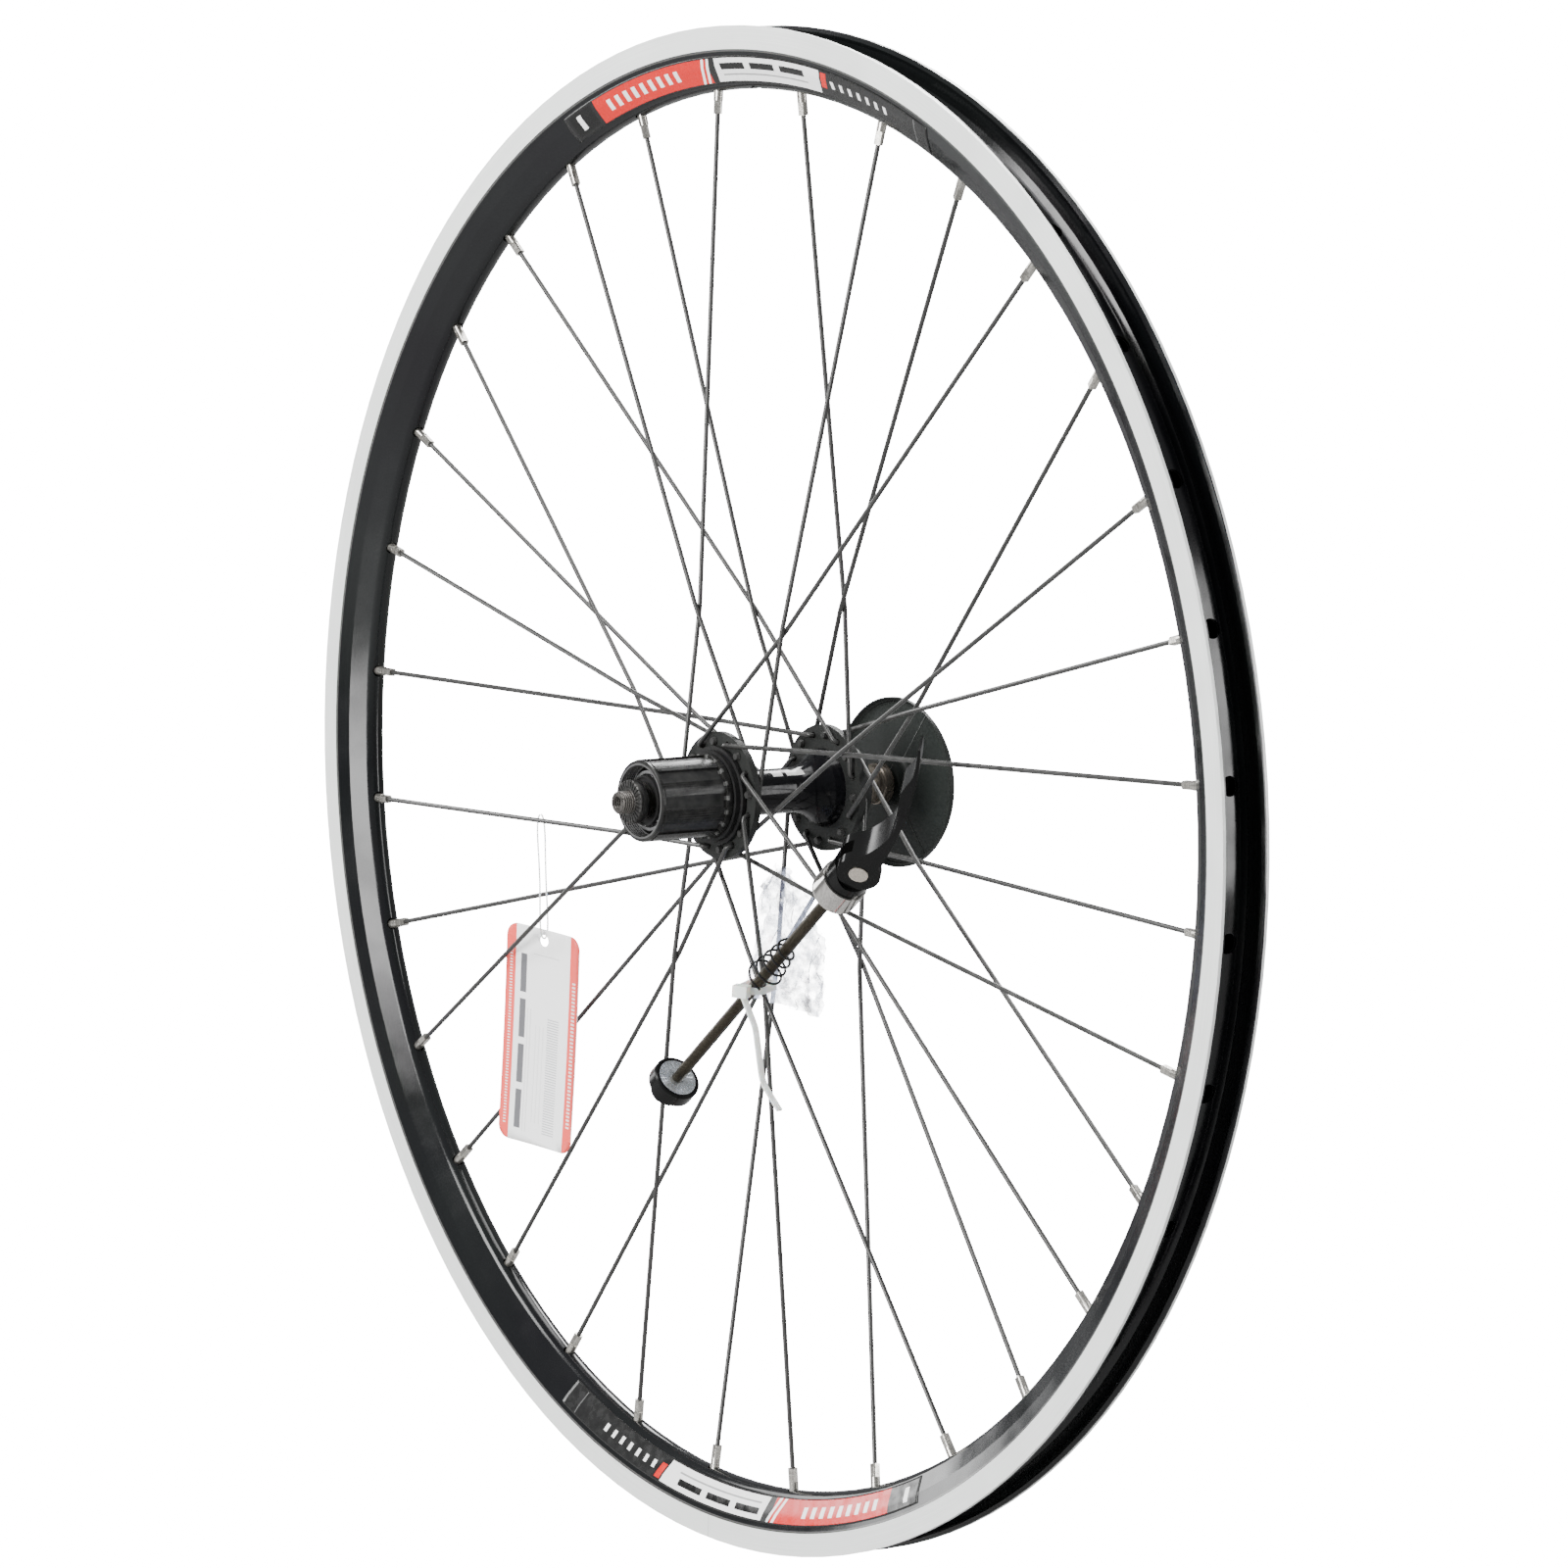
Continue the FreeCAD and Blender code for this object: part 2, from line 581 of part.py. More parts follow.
def make_nipple(index):
    """Return one nipple on the spoke's line: head, round shank and square flats."""
    middle, end = spoke_points(index)[2:]
    inward = (middle - end).normalize()
    head_len, seat = 2.4, end - inward * 1.4
    shank_len = float(S["nipple_seat_r"] - S["nipple_tip_r"]) + 1.4
    square = float(S["nipple_flat"])
    head = Part.makeCone(S["nipple_head_r"] - 0.7, S["nipple_head_r"], head_len - 1.2,
                         Vector(0, 0, -1.0))
    cheek = Part.makeCone(S["nipple_head_r"], S["nipple_r"], 1.2, Vector(0, 0, head_len - 2.2))
    round_part = Part.makeCylinder(S["nipple_r"], shank_len - 5.5)
    flats = Part.makeBox(square, square, 5.5, Vector(-square / 2, -square / 2, shank_len - 5.5))
    flats = flats.common(Part.makeCylinder(S["nipple_r"], shank_len))
    bore = Part.makeCylinder(S["nipple_bore_r"], shank_len + 4.0, Vector(0, 0, -2.0))
    nipple = head.fuse([cheek, round_part, flats]).cut(bore).removeSplitter()
    nipple.Placement = Placement(seat, Rotation(Vector(0, 0, 1), inward))
    return nipple


def make_spoke_sets():
    """Group the spokes by side and by the flange face they run on, and the nipples by side."""
    every = range(int(S["spoke_count"]))
    for side, drive in (("ds", True), ("nds", False)):
        for face, inner in (("inner", True), ("outer", False)):
            chosen = [make_spoke(k) for k in every if spoke_kind(k)[:2] == (drive, inner)]
            feature("%s_%s_spokes" % (side, face), Part.makeCompound(chosen))
        nipples = [make_nipple(k) for k in every if spoke_kind(k)[0] == drive]
        feature("%s_nipples" % side, Part.makeCompound(nipples))


# ---------------------------------------------------------------- quick-release skewer

def skewer_place():
    """Place the skewer's frame: Y along the rod, X along the cam's barrel."""
    rod = Vector(math.cos(SKEWER_TILT), 0, math.sin(SKEWER_TILT))
    down = Vector(math.sin(SKEWER_TILT), 0, -math.cos(SKEWER_TILT))
    barrel = Vector(0, -math.cos(BARREL_TURN), 0) + down * math.sin(BARREL_TURN)
    side = barrel.cross(rod)
    matrix = Matrix(barrel.x, rod.x, side.x, SKEWER_AT.x, barrel.y, rod.y, side.y, SKEWER_AT.y,
                    barrel.z, rod.z, side.z, SKEWER_AT.z, 0, 0, 0, 1)
    return Placement(matrix)


def make_skewer_nut(place):
    """Black ring with a serrated insert, and the two wings on its back."""
    insert = turned("skewer_nut_insert", [(2.6, 1.0), (8.4, 1.0), (8.4, 5.0), (2.6, 5.0)], place)
    tooth = box_cut(insert, "nut_serration", (3.6, 0.5, 0.6),
                    Placement(Vector(4.6, 4.6, -0.3), Rotation()))
    repeat(insert, "nut_serrations", [tooth], 24)
    ring = turned("skewer_nut", [(2.6, -8.0), (5.6, -8.0), (6.4, -7.2), (6.4, -3.4), (S["nut_r"], -1.4),
                                 (S["nut_r"], 4.4), (S["nut_r"] - 0.6, 5.0), (8.45, 5.0), (8.45, 1.0),
                                 (2.6, 1.0)], place)
    notch = box_cut(ring, "grip_notch", (6.0, 5.2, 5.0), Placement(Vector(5.2, -8.2, -2.5), Rotation()))
    repeat(ring, "grip_notches", [notch], 2)


def make_cup(place, start):
    """Bright cup that takes the cam's push, and the black seat in it."""
    radius, length = S["cup_r"], S["cup_len"]
    cup = turned("cam_cup", [(2.7, start), (radius - 1.6, start), (radius - 0.4, start + 0.9),
                             (radius, start + 2.4), (radius, start + length),
                             (radius - 0.8, start + length), (radius - 0.8, start + 3.0),
                             (2.7, start + 3.0)], place)
    tooth = box_cut(cup, "cup_serration", (3.4, 0.5, 0.6),
                    Placement(Vector(4.4, float(start) - 0.1, -0.3), Rotation()))
    repeat(cup, "cup_serrations", [tooth], 24)
    seat = turned("cam_seat", [(3.0, start + 3.0), (radius - 0.9, start + 3.0),
                               (radius - 0.9, start + 20.0), (3.0, start + 20.0)], place)
    circle_cut(seat, "cam_cradle", S["cam_head_r"] + 0.6, 24.0,
               along_x(-12.0, float(start + S["barrel_y"])))
    return seat


def make_rod(place, barrel_y):
    """Rod with a plain end that goes into the cam's barrel."""
    radius = S["rod_r"]
    turned("skewer_rod", [(0.0, -11.0), (radius - 0.6, -11.0), (radius, -10.4),
                          (radius, barrel_y - 1.0), (0.0, barrel_y - 1.0)], place)


def make_barrel(place, barrel_y):
    """Cross barrel that the lever turns on."""
    half = float(S["lever_half"]) + 0.4
    shape = Part.makeCylinder(S["cam_barrel_r"], 2 * half, Vector(-half, barrel_y, 0), Vector(1, 0, 0))
    hole = Part.makeCylinder(S["rod_r"], 9.0, Vector(0, barrel_y - 10.0, 0), Vector(0, 1, 0))
    feature("cam_barrel", shape.cut(hole), place)


def make_lever(place, barrel_y):
    """Curved lever with a forked round head on the barrel."""
    top = [(-5.0, 7.4), (-1.8, 8.8), (3.4, 8.4), (9.0, 4.6), (15.5, 1.9), (24.0, 0.3),
           (33.0, 0.9), (40.6, 3.7), (47.0, 7.0), (52.0, 8.3), (61.6, 8.5), (67.0, 10.3), (74.2, 13.4)]
    low = [(74.6, 12.5), (67.6, 9.0), (58.6, 5.4), (50.0, 2.6), (40.3, -0.2), (31.0, -2.1),
           (18.8, -4.1), (9.6, -5.4)]
    edge = spline_through([Vector(0, barrel_y + a, b) for a, b in top])
    under = spline_through([Vector(0, barrel_y + a, b) for a, b in low])
    joints = [Part.LineSegment(Vector(0, barrel_y + 74.2, 13.4), Vector(0, barrel_y + 74.6, 12.5)),
              Part.LineSegment(Vector(0, barrel_y + 9.6, -5.4), Vector(0, barrel_y - 5.0, 7.4))]
    wire = Part.Wire(Part.__sortEdges__([edge.toShape(), joints[0].toShape(), under.toShape(),
                                         joints[1].toShape()]))
    half = float(S["lever_half"])
    paddle = Part.Face(wire).extrude(Vector(2 * half, 0, 0))
    paddle.translate(Vector(-half, 0, 0))
    taper = paddle_outline(half, barrel_y)
    head = Part.makeCylinder(S["cam_head_r"], 2 * half, Vector(-half, barrel_y, 0), Vector(1, 0, 0))
    lever = head.fuse(paddle.common(taper))
    slot = Part.makeBox(6.4, 17.0, 40.0, Vector(-3.2, barrel_y - 11.0, -20.0))
    bore = Part.makeCylinder(S["cam_barrel_r"] + 0.05, 30.0, Vector(-15.0, barrel_y, 0), Vector(1, 0, 0))
    feature("qr_lever", lever.cut([slot, bore]).removeSplitter(), place)


def spline_through(points):
    """Return a smooth curve through the points."""
    curve = Part.BSplineCurve()
    curve.interpolate(points)
    return curve


def paddle_outline(half, barrel_y):
    """Return the lever's plan as a tall solid: full width at the head, narrow at the tip."""
    plan = [(-12.0, half), (40.0, half), (62.0, half - 1.6), (80.0, half - 4.4)]
    corners = [Vector(x, barrel_y + y, -30) for y, x in plan]
    corners += [Vector(-x, barrel_y + y, -30) for y, x in reversed(plan)]
    return Part.Face(Part.makePolygon(corners + corners[:1])).extrude(Vector(0, 0, 60))


def make_spring(place):
    """Conical spring on the rod, wide towards the nut."""
    turns, start, end, wide, narrow = 4.5, 83.0, 106.0, 7.2, 4.0
    steps = int(12 * turns)
    points, radii = [], []
    for index in range(steps + 1):
        share = index / steps
        angle, radius = 2 * math.pi * turns * share, wide + (narrow - wide) * share
        points.append(Vector(radius * math.cos(angle), start + (end - start) * share,
                             radius * math.sin(angle)))
        radii.append(0.8 * radius)
    feature("skewer_spring", tube(points, radii[1:-1], S["spring_wire_r"]), place)


# ---------------------------------------------------------------- protector disc

def make_protector():
    """Flared disc with a sleeve that pushes on the axle's end."""
    radius, sleeve, boss = S["protector_r"], S["protector_sleeve_r"], S["protector_boss_r"]
    tilt = Placement(Vector(0, 66.0, 0), Rotation(Vector(0, 0, 1), 4.0))
    turned("axle_protector", [
        (sleeve, 0.6), (boss, 0.6), (boss, 3.6), (12.6, 5.2, Size(4.0), 1), (radius - 2.0, 8.0),
        (radius - 0.6, 5.6), (radius, 5.6), (radius, 7.4), (radius - 1.4, 9.2), (12.0, 6.9),
        (7.0, 7.6), (0.0, 7.6), (0.0, 6.0), (sleeve, 6.0)], tilt)


# ---------------------------------------------------------------- things tied on for sale

def make_card():
    """Hang tag: a thin card with a hole near its top."""
    place = card_place()
    wide, high = S["card_width"], S["card_height"]
    body = padded("hang_tag", [(wide / 2, 0.0 - high), (wide / 2, 0.0), (-(wide / 2), 0.0),
                               (-(wide / 2), 0.0 - high)], S["card_thick"], place)
    circle_cut(body, "card_hole", 2.6, 4.0, Placement(Vector(0.0, -5.0, -2.0), Rotation()))


def card_place():
    """Place the card between the two layers of spokes, leaning a little."""
    across = Vector(0.975, 0.20, -0.10).normalize()
    down = Vector(-0.19, 0.0, -0.98)
    face = across.cross(-down).normalize()
    up = face.cross(across)
    top = Vector(-157.6, 0.6, -74.4)
    return Placement(Matrix(across.x, up.x, face.x, top.x, across.y, up.y, face.y, top.y,
                            across.z, up.z, face.z, top.z, 0, 0, 0, 1))


def make_tag_string():
    """Thin closed loop over a spoke and through the card's hole."""
    hole = card_place().multVec(Vector(0, -5.0 + 1.6, 0))
    crossing, end = spoke_points(STRING_SPOKE)[2:]
    share = (STRING_X - crossing.x) / (end.x - crossing.x)
    hook = crossing + (end - crossing) * share + Vector(0, 0, 1.8)
    run = (hook - hole).normalize()
    side = Vector(1, 0, 0).cross(run).normalize()
    half = 2.2
    line_a = Part.LineSegment(hole + side * half + run * half, hook + side * half - run * half)
    line_b = Part.LineSegment(hook - side * half - run * half, hole - side * half + run * half)
    top = Part.Arc(hook + side * half - run * half, hook, hook - side * half - run * half)
    low = Part.Arc(hole - side * half + run * half, hole, hole + side * half + run * half)
    path = Part.Wire([line_a.toShape(), top.toShape(), line_b.toShape(), low.toShape()])
    start = hole + side * half + run * half
    section = Part.Wire([Part.makeCircle(S["tag_string_r"], start, run)])
    feature("tag_string", path.makePipe(Part.Face(section)))


def make_tie(place):
    """Cable tie round the rod and the two spokes that cross behind it, with its head and tail."""
    wide, thick, radius = float(S["tie_width"]), float(S["tie_thick"]), 4.9
    rod = place.Rotation.multVec(Vector(0, 1, 0))
    spokes = [spoke_points(index) for index in TIED_SPOKES]
    crossing = (spokes[0][2] + spokes[1][2]) * 0.5
    runs = [(ends[3] - ends[2]).normalize() for ends in spokes]
    slant = rod - runs[0] - runs[1]
    slant = Vector(slant.x, 0, slant.z).normalize()
    station = (crossing - SKEWER_AT).dot(slant) / rod.dot(slant)
    held = SKEWER_AT + rod * station
    out = held - crossing
    centre, half = (held + crossing) * 0.5, out.Length / 2
    out.normalize()
    side = slant.cross(out)
    loop = Part.Face(stadium(centre, out, side, half, radius + thick)).extrude(slant * wide)
    hollow = Part.Face(stadium(centre, out, side, half, radius)).extrude(slant * wide)
    band = loop.cut(hollow)
    band.translate(slant * (-wide / 2))
    head_at = centre + out * (half + radius + thick - 0.9) - side * 2.0
    head = Part.makeBox(6.4, 5.2, 5.0, Vector(-3.2, 0.0, -2.5))
    head.Placement = Placement(Matrix(side.x, out.x, -slant.x, head_at.x, side.y, out.y, -slant.y,
                                      head_at.y, side.z, out.z, -slant.z, head_at.z, 0, 0, 0, 1))
    tail = tie_tail(head_at + out * 2.6)
    feature("cable_tie", band.fuse([head, tail]).removeSplitter())


def stadium(centre, long_way, short_way, half, radius):
    """Return a closed wire of two straights and two half circles."""
    far, near = centre + long_way * half, centre - long_way * half
    return Part.Wire([
        Part.LineSegment(near + short_way * radius, far + short_way * radius).toShape(),
        Part.Arc(far + short_way * radius, far + long_way * radius, far - short_way * radius).toShape(),
        Part.LineSegment(far - short_way * radius, near - short_way * radius).toShape(),
        Part.Arc(near - short_way * radius, near - long_way * radius, near + short_way * radius).toShape()])


def tie_tail(start):
    """Return the tie's free end, a thin strip that hangs away from the head."""
    wide = 2.6
    points = [start, start + Vector(10.0, 0.0, -14.0), start + Vector(15.0, 0.0, -36.0),
              start + Vector(27.0, 0.0, -46.0)]
    path = rounded_path(points, [12.0, 12.0])
    run = (points[1] - start).normalize()
    across = Vector(0, 1, 0).cross(run) * 0.5
    corner = Vector(0, wide / 2, 0)
    ring = [start + across + corner, start - across + corner, start - across - corner,
            start + across - corner]
    return path.makePipe(Part.Face(Part.makePolygon(ring + ring[:1])))


def make_bag():
    """Small clear bag of fittings, a flat pillow behind the drive-side spokes."""
    rows = [(-34.0, 12.0, 36.0, 1.6), (-48.0, 8.0, 48.0, 5.0), (-70.0, 8.0, 50.0, 7.0),
            (-90.0, 10.0, 50.0, 5.0), (-99.0, 13.0, 46.0, 1.6)]
    wires = []
    for z, left, right, half in rows:
        middle, y = (left + right) / 2, 3.0
        wires.append(Part.Wire([
            Part.Arc(Vector(left, y, z), Vector(middle, y - half, z), Vector(right, y, z)).toShape(),
            Part.Arc(Vector(right, y, z), Vector(middle, y + half, z), Vector(left, y, z)).toShape()]))
    feature("parts_bag", Part.makeLoft(wires, True))


# ---------------------------------------------------------------- build, check and export

def check_document():
    """Stop if any object failed or any piece has no valid shape; return the pieces."""
    DOC.recompute()
    for item in DOC.Objects:
        if "Invalid" in item.State or "Error" in item.State:
            raise RuntimeError("failed: %s %s" % (item.Name, item.State))
    pieces = [item for item in DOC.Objects
              if item.isDerivedFrom("PartDesign::Body") or item.TypeId == "Part::Feature"]
    for piece in pieces:
        if piece.Shape.isNull() or not piece.Shape.isValid():
            raise RuntimeError("bad shape: " + piece.Label)
    return pieces


def main():
    """Build every piece and write each to its own file."""
    make_rim()
    make_hub_shell()
    make_axle()
    make_nds_axle_parts()
    make_ds_axle_parts()
    make_bearings()
    make_freehub()
    make_spoke_sets()
    place = skewer_place()
    barrel_y = float(S["nut_to_cup"] + S["barrel_y"])
    make_skewer_nut(place)
    make_cup(place, S["nut_to_cup"])
    make_rod(place, S["nut_to_cup"] + S["barrel_y"])
    make_barrel(place, barrel_y)
    make_lever(place, barrel_y)
    make_spring(place)
    make_protector()
    make_card()
    make_tag_string()
    make_tie(place)
    make_bag()
    os.makedirs("parts", exist_ok=True)
    for piece in check_document():
        piece.Shape.exportStep("parts/%s.step" % piece.Label)
        print(piece.Label, len(piece.Shape.Solids), round(piece.Shape.Volume, 1))


main()
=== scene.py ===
"""Looks for a bicycle rear wheel.

Materials, rim labels, hang tag and its line, film bag, light and camera.
"""

import math

import bpy
import bmesh
from mathutils import Matrix, Vector, noise


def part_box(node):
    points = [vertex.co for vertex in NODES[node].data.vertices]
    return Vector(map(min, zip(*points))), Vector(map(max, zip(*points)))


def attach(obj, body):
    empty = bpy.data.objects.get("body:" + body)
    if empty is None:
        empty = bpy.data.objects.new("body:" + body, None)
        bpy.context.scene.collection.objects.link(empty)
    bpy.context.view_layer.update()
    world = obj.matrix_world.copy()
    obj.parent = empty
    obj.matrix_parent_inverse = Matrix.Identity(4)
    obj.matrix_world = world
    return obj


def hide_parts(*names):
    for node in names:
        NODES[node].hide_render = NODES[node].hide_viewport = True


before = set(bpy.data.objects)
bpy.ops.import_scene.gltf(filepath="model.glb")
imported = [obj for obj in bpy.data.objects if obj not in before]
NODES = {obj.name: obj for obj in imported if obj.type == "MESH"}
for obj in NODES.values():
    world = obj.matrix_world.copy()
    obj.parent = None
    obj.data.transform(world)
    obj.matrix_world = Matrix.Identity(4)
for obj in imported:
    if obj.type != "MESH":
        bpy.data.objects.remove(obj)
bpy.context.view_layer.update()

MM = 0.001
RIM_R = 317.0 * MM        # outer radius of the rim
TRACK_R = 307.2 * MM      # inner radius of the brake tracks
RIM_HALF = 11.5 * MM      # half the width over the brake tracks

FILL = 0.42               # strength of the dim light from all round
BACKDROP = 18.0           # strength of the white that only the direct view gets
FLOOR_GREY = (0.32, 0.32, 0.32)

BLACK = (0.004, 0.004, 0.005)
BLACK_SHINE = 0.15        # Specular IOR Level of the black parts
PRINT_SHINE = 0.3         # and of the rim and its labels
WHITE = (0.88, 0.88, 0.87)
RED = (0.56, 0.012, 0.010)
GREY = (0.012, 0.012, 0.012)
INK = (0.006, 0.006, 0.006)


# ---------------------------------------------------------------- camera, stage and light

def make_camera():
    """Long lens from the drive side, a little above the axle."""
    turn, rise, roll = math.radians(53.895), math.radians(6.160), math.radians(0.257)
    distance, aim_right, aim_up = 2.90076, 0.01135, 0.00351
    back = Vector((math.sin(turn) * math.cos(rise), -math.cos(turn) * math.cos(rise), math.sin(rise)))
    level = Vector((math.cos(turn), math.sin(turn), 0.0))
    upright = back.cross(level)
    right = level * math.cos(roll) + upright * math.sin(roll)
    up = back.cross(right)
    aim = right * aim_right + up * aim_up
    data = bpy.data.cameras.new("camera")
    data.sensor_width = 36.0
    data.lens = 160.27
    data.clip_end = 20.0
    camera = bpy.data.objects.new("camera", data)
    axes = Matrix((right, up, back)).transposed().to_4x4()
    camera.matrix_world = Matrix.Translation(aim + back * distance) @ axes
    bpy.context.scene.collection.objects.link(camera)
    bpy.context.scene.camera = camera


def area_light(name, place, size, radiance, target=(0.0, 0.0, 0.0)):
    """Soft rectangular light aimed at a point, as bright as the given radiance."""
    data = bpy.data.lights.new(name, "AREA")
    data.shape = "RECTANGLE"
    data.size, data.size_y = size
    data.energy = radiance * math.pi * size[0] * size[1]
    light = bpy.data.objects.new(name, data)
    light.location = place
    light.rotation_euler = (Vector(target) - Vector(place)).to_track_quat("-Z", "Y").to_euler()
    bpy.context.scene.collection.objects.link(light)


def seen_white(tree, dim, white):
    """Mix a dim shader with a white one that only the direct view gets."""
    mixer = tree.nodes.new("ShaderNodeMixShader")
    path = tree.nodes.new("ShaderNodeLightPath")
    tree.links.new(path.outputs["Is Camera Ray"], mixer.inputs[0])
    tree.links.new(dim, mixer.inputs[1])
    tree.links.new(white, mixer.inputs[2])
    return mixer.outputs[0]


def make_world():
    """White studio surroundings that throw only a dim fill light."""
    world = bpy.data.worlds.new("studio")
    bpy.context.scene.world = world
    world.use_nodes = True
    tree = world.node_tree
    fill = tree.nodes["Background"]
    fill.inputs["Color"].default_value = (0.96, 0.98, 1.0, 1.0)
    fill.inputs["Strength"].default_value = FILL
    white = tree.nodes.new("ShaderNodeBackground")
    white.inputs["Color"].default_value = (1.0, 1.0, 1.0, 1.0)
    white.inputs["Strength"].default_value = BACKDROP
    shader = seen_white(tree, fill.outputs[0], white.outputs[0])
    tree.links.new(shader, tree.nodes["World Output"].inputs["Surface"])


def make_floor():
    """Floor well below the wheel, white to the direct view and grey to reflections."""
    side, drop = 30.0, -0.52
    mesh = bpy.data.meshes.new("floor")
    corners = [(-side, -side, drop), (side, -side, drop), (side, side, drop), (-side, side, drop)]
    mesh.from_pydata(corners, [], [(0, 1, 2, 3)])
    floor = bpy.data.objects.new("floor", mesh)
    bpy.context.scene.collection.objects.link(floor)
    paint = Paint("floor_white", FLOOR_GREY, 0.9)
    glow = paint.tree.nodes.new("ShaderNodeEmission")
    glow.inputs["Strength"].default_value = BACKDROP
    shader = seen_white(paint.tree, paint.shader.outputs[0], glow.outputs[0])
    paint.tree.links.new(shader, paint.tree.nodes["Material Output"].inputs["Surface"])
    floor.data.materials.append(paint.material)


def make_stage():
    """Floor, surroundings and softboxes."""
    make_world()
    make_floor()
    area_light("front_right", (0.35, -3.2, 0.0), (1.2, 3.0), 24.0)
    area_light("front_left", (-3.2, -0.9, 0.9), (1.2, 1.8), 9.0)
    area_light("front_high", (-0.4, -2.4, 2.3), (1.4, 1.0), 24.0)
    area_light("back_top", (-1.2, 1.5, 1.75), (1.3, 0.6), 30.0)
    area_light("overhead", (0.1, 0.6, 2.4), (1.6, 1.2), 9.0)
    area_light("far_right", (2.6, 2.0, 0.5), (0.45, 2.4), 12.0)


# ---------------------------------------------------------------- node helper

class Paint:
    """A Principled material with short calls for adding procedural nodes."""

    def __init__(self, name, colour, rough, metal=0.0):
        self.material = bpy.data.materials.new(name)
        self.material.use_nodes = True
        self.tree = self.material.node_tree
        self.shader = self.tree.nodes["Principled BSDF"]
        self.set("Base Color", (*colour, 1.0))
        self.set("Roughness", rough)
        self.set("Metallic", metal)

    def set(self, socket, number):
        """Give a shader socket a constant or a link."""
        if isinstance(number, bpy.types.NodeSocket):
            self.tree.links.new(number, self.shader.inputs[socket])
        else:
            self.shader.inputs[socket].default_value = number

    def feed(self, node, index, number):
        """Give any node's input a constant or a link."""
        if isinstance(number, bpy.types.NodeSocket):
            self.tree.links.new(number, node.inputs[index])
        else:
            node.inputs[index].default_value = number

    def math(self, operation, first, second=0.0):
        """Add a Math node and return its result."""
        node = self.tree.nodes.new("ShaderNodeMath")
        node.operation = operation
        self.feed(node, 0, first)
        self.feed(node, 1, second)
        return node.outputs[0]

    def times(self, first, second):
        """Return a product."""
        return self.math("MULTIPLY", first, second)

    def plus(self, first, second):
        """Return a sum."""
        return self.math("ADD", first, second)

    def minus(self, first, second):
        """Return a difference."""
        return self.math("SUBTRACT", first, second)

    def absolute(self, number):
        """Return a number without its sign."""
        return self.math("ABSOLUTE", number)

    def above(self, number, low):
        """Return 1 where number > low."""
        return self.math("GREATER_THAN", number, low)

    def below(self, number, high):
        """Return 1 where number < high."""
        return self.math("LESS_THAN", number, high)

    def between(self, number, low, high):
        """Return 1 where low < number < high."""
        return self.times(self.above(number, low), self.below(number, high))

    def place(self):
        """Return the place in the row frame, in metres."""
        return self.tree.nodes.new("ShaderNodeTexCoord").outputs["Object"]

    def split(self, vector):
        """Return the three parts of a vector."""
        node = self.tree.nodes.new("ShaderNodeSeparateXYZ")
        self.tree.links.new(vector, node.inputs[0])
        return node.outputs

    def join(self, x, y, z):
        """Return a vector of three parts."""
        node = self.tree.nodes.new("ShaderNodeCombineXYZ")
        for index, number in enumerate((x, y, z)):
            self.feed(node, index, number)
        return node.outputs[0]

    def grain(self, scale, detail=3.0, vector=None):
        """Return noise at a scale per metre."""
        node = self.tree.nodes.new("ShaderNodeTexNoise")
        self.tree.links.new(vector or self.place(), node.inputs["Vector"])
        node.inputs["Scale"].default_value = scale
        node.inputs["Detail"].default_value = detail
        return node.outputs["Fac"]

    def ramp(self, number, low, high, start=0.35, end=0.65):
        """Map a number to between low and high."""
        node = self.tree.nodes.new("ShaderNodeMapRange")
        self.feed(node, 0, number)
        for index, limit in enumerate((start, end, low, high), start=1):
            node.inputs[index].default_value = limit
        return node.outputs[0]

    def mix(self, factor, first, second):
        """Mix two colours, each a tuple or a link."""
        node = self.tree.nodes.new("ShaderNodeMix")
        node.data_type = "RGBA"
        self.feed(node, 0, factor)
        for index, colour in ((6, first), (7, second)):
            if isinstance(colour, bpy.types.NodeSocket):
                self.tree.links.new(colour, node.inputs[index])
            else:
                node.inputs[index].default_value = (*colour, 1.0)
        return node.outputs[2]

    def bump(self, height, distance, strength=1.0):
        """Raise the surface by a height map."""
        node = self.tree.nodes.new("ShaderNodeBump")
        node.inputs["Strength"].default_value = strength
        node.inputs["Distance"].default_value = distance
        self.tree.links.new(height, node.inputs["Height"])
        self.tree.links.new(node.outputs[0], self.shader.inputs["Normal"])

    def about_axle(self):
        """Return the distance from the axle, the angle about it and the place along it."""
        x, y, z = self.split(self.place())
        squares = self.plus(self.times(x, x), self.times(z, z))
        return self.math("SQRT", squares), self.math("ARCTAN2", z, x), y


def scaled(colour, share):
    """Return a colour made darker or lighter."""
    return tuple(channel * share for channel in colour)


def dress(material, *names):
    """Give CAD nodes a material in place of their packed one."""
    for name in names:
        slots = NODES[name].data.materials
        slots.clear()
        slots.append(material)


# ---------------------------------------------------------------- materials of the CAD nodes

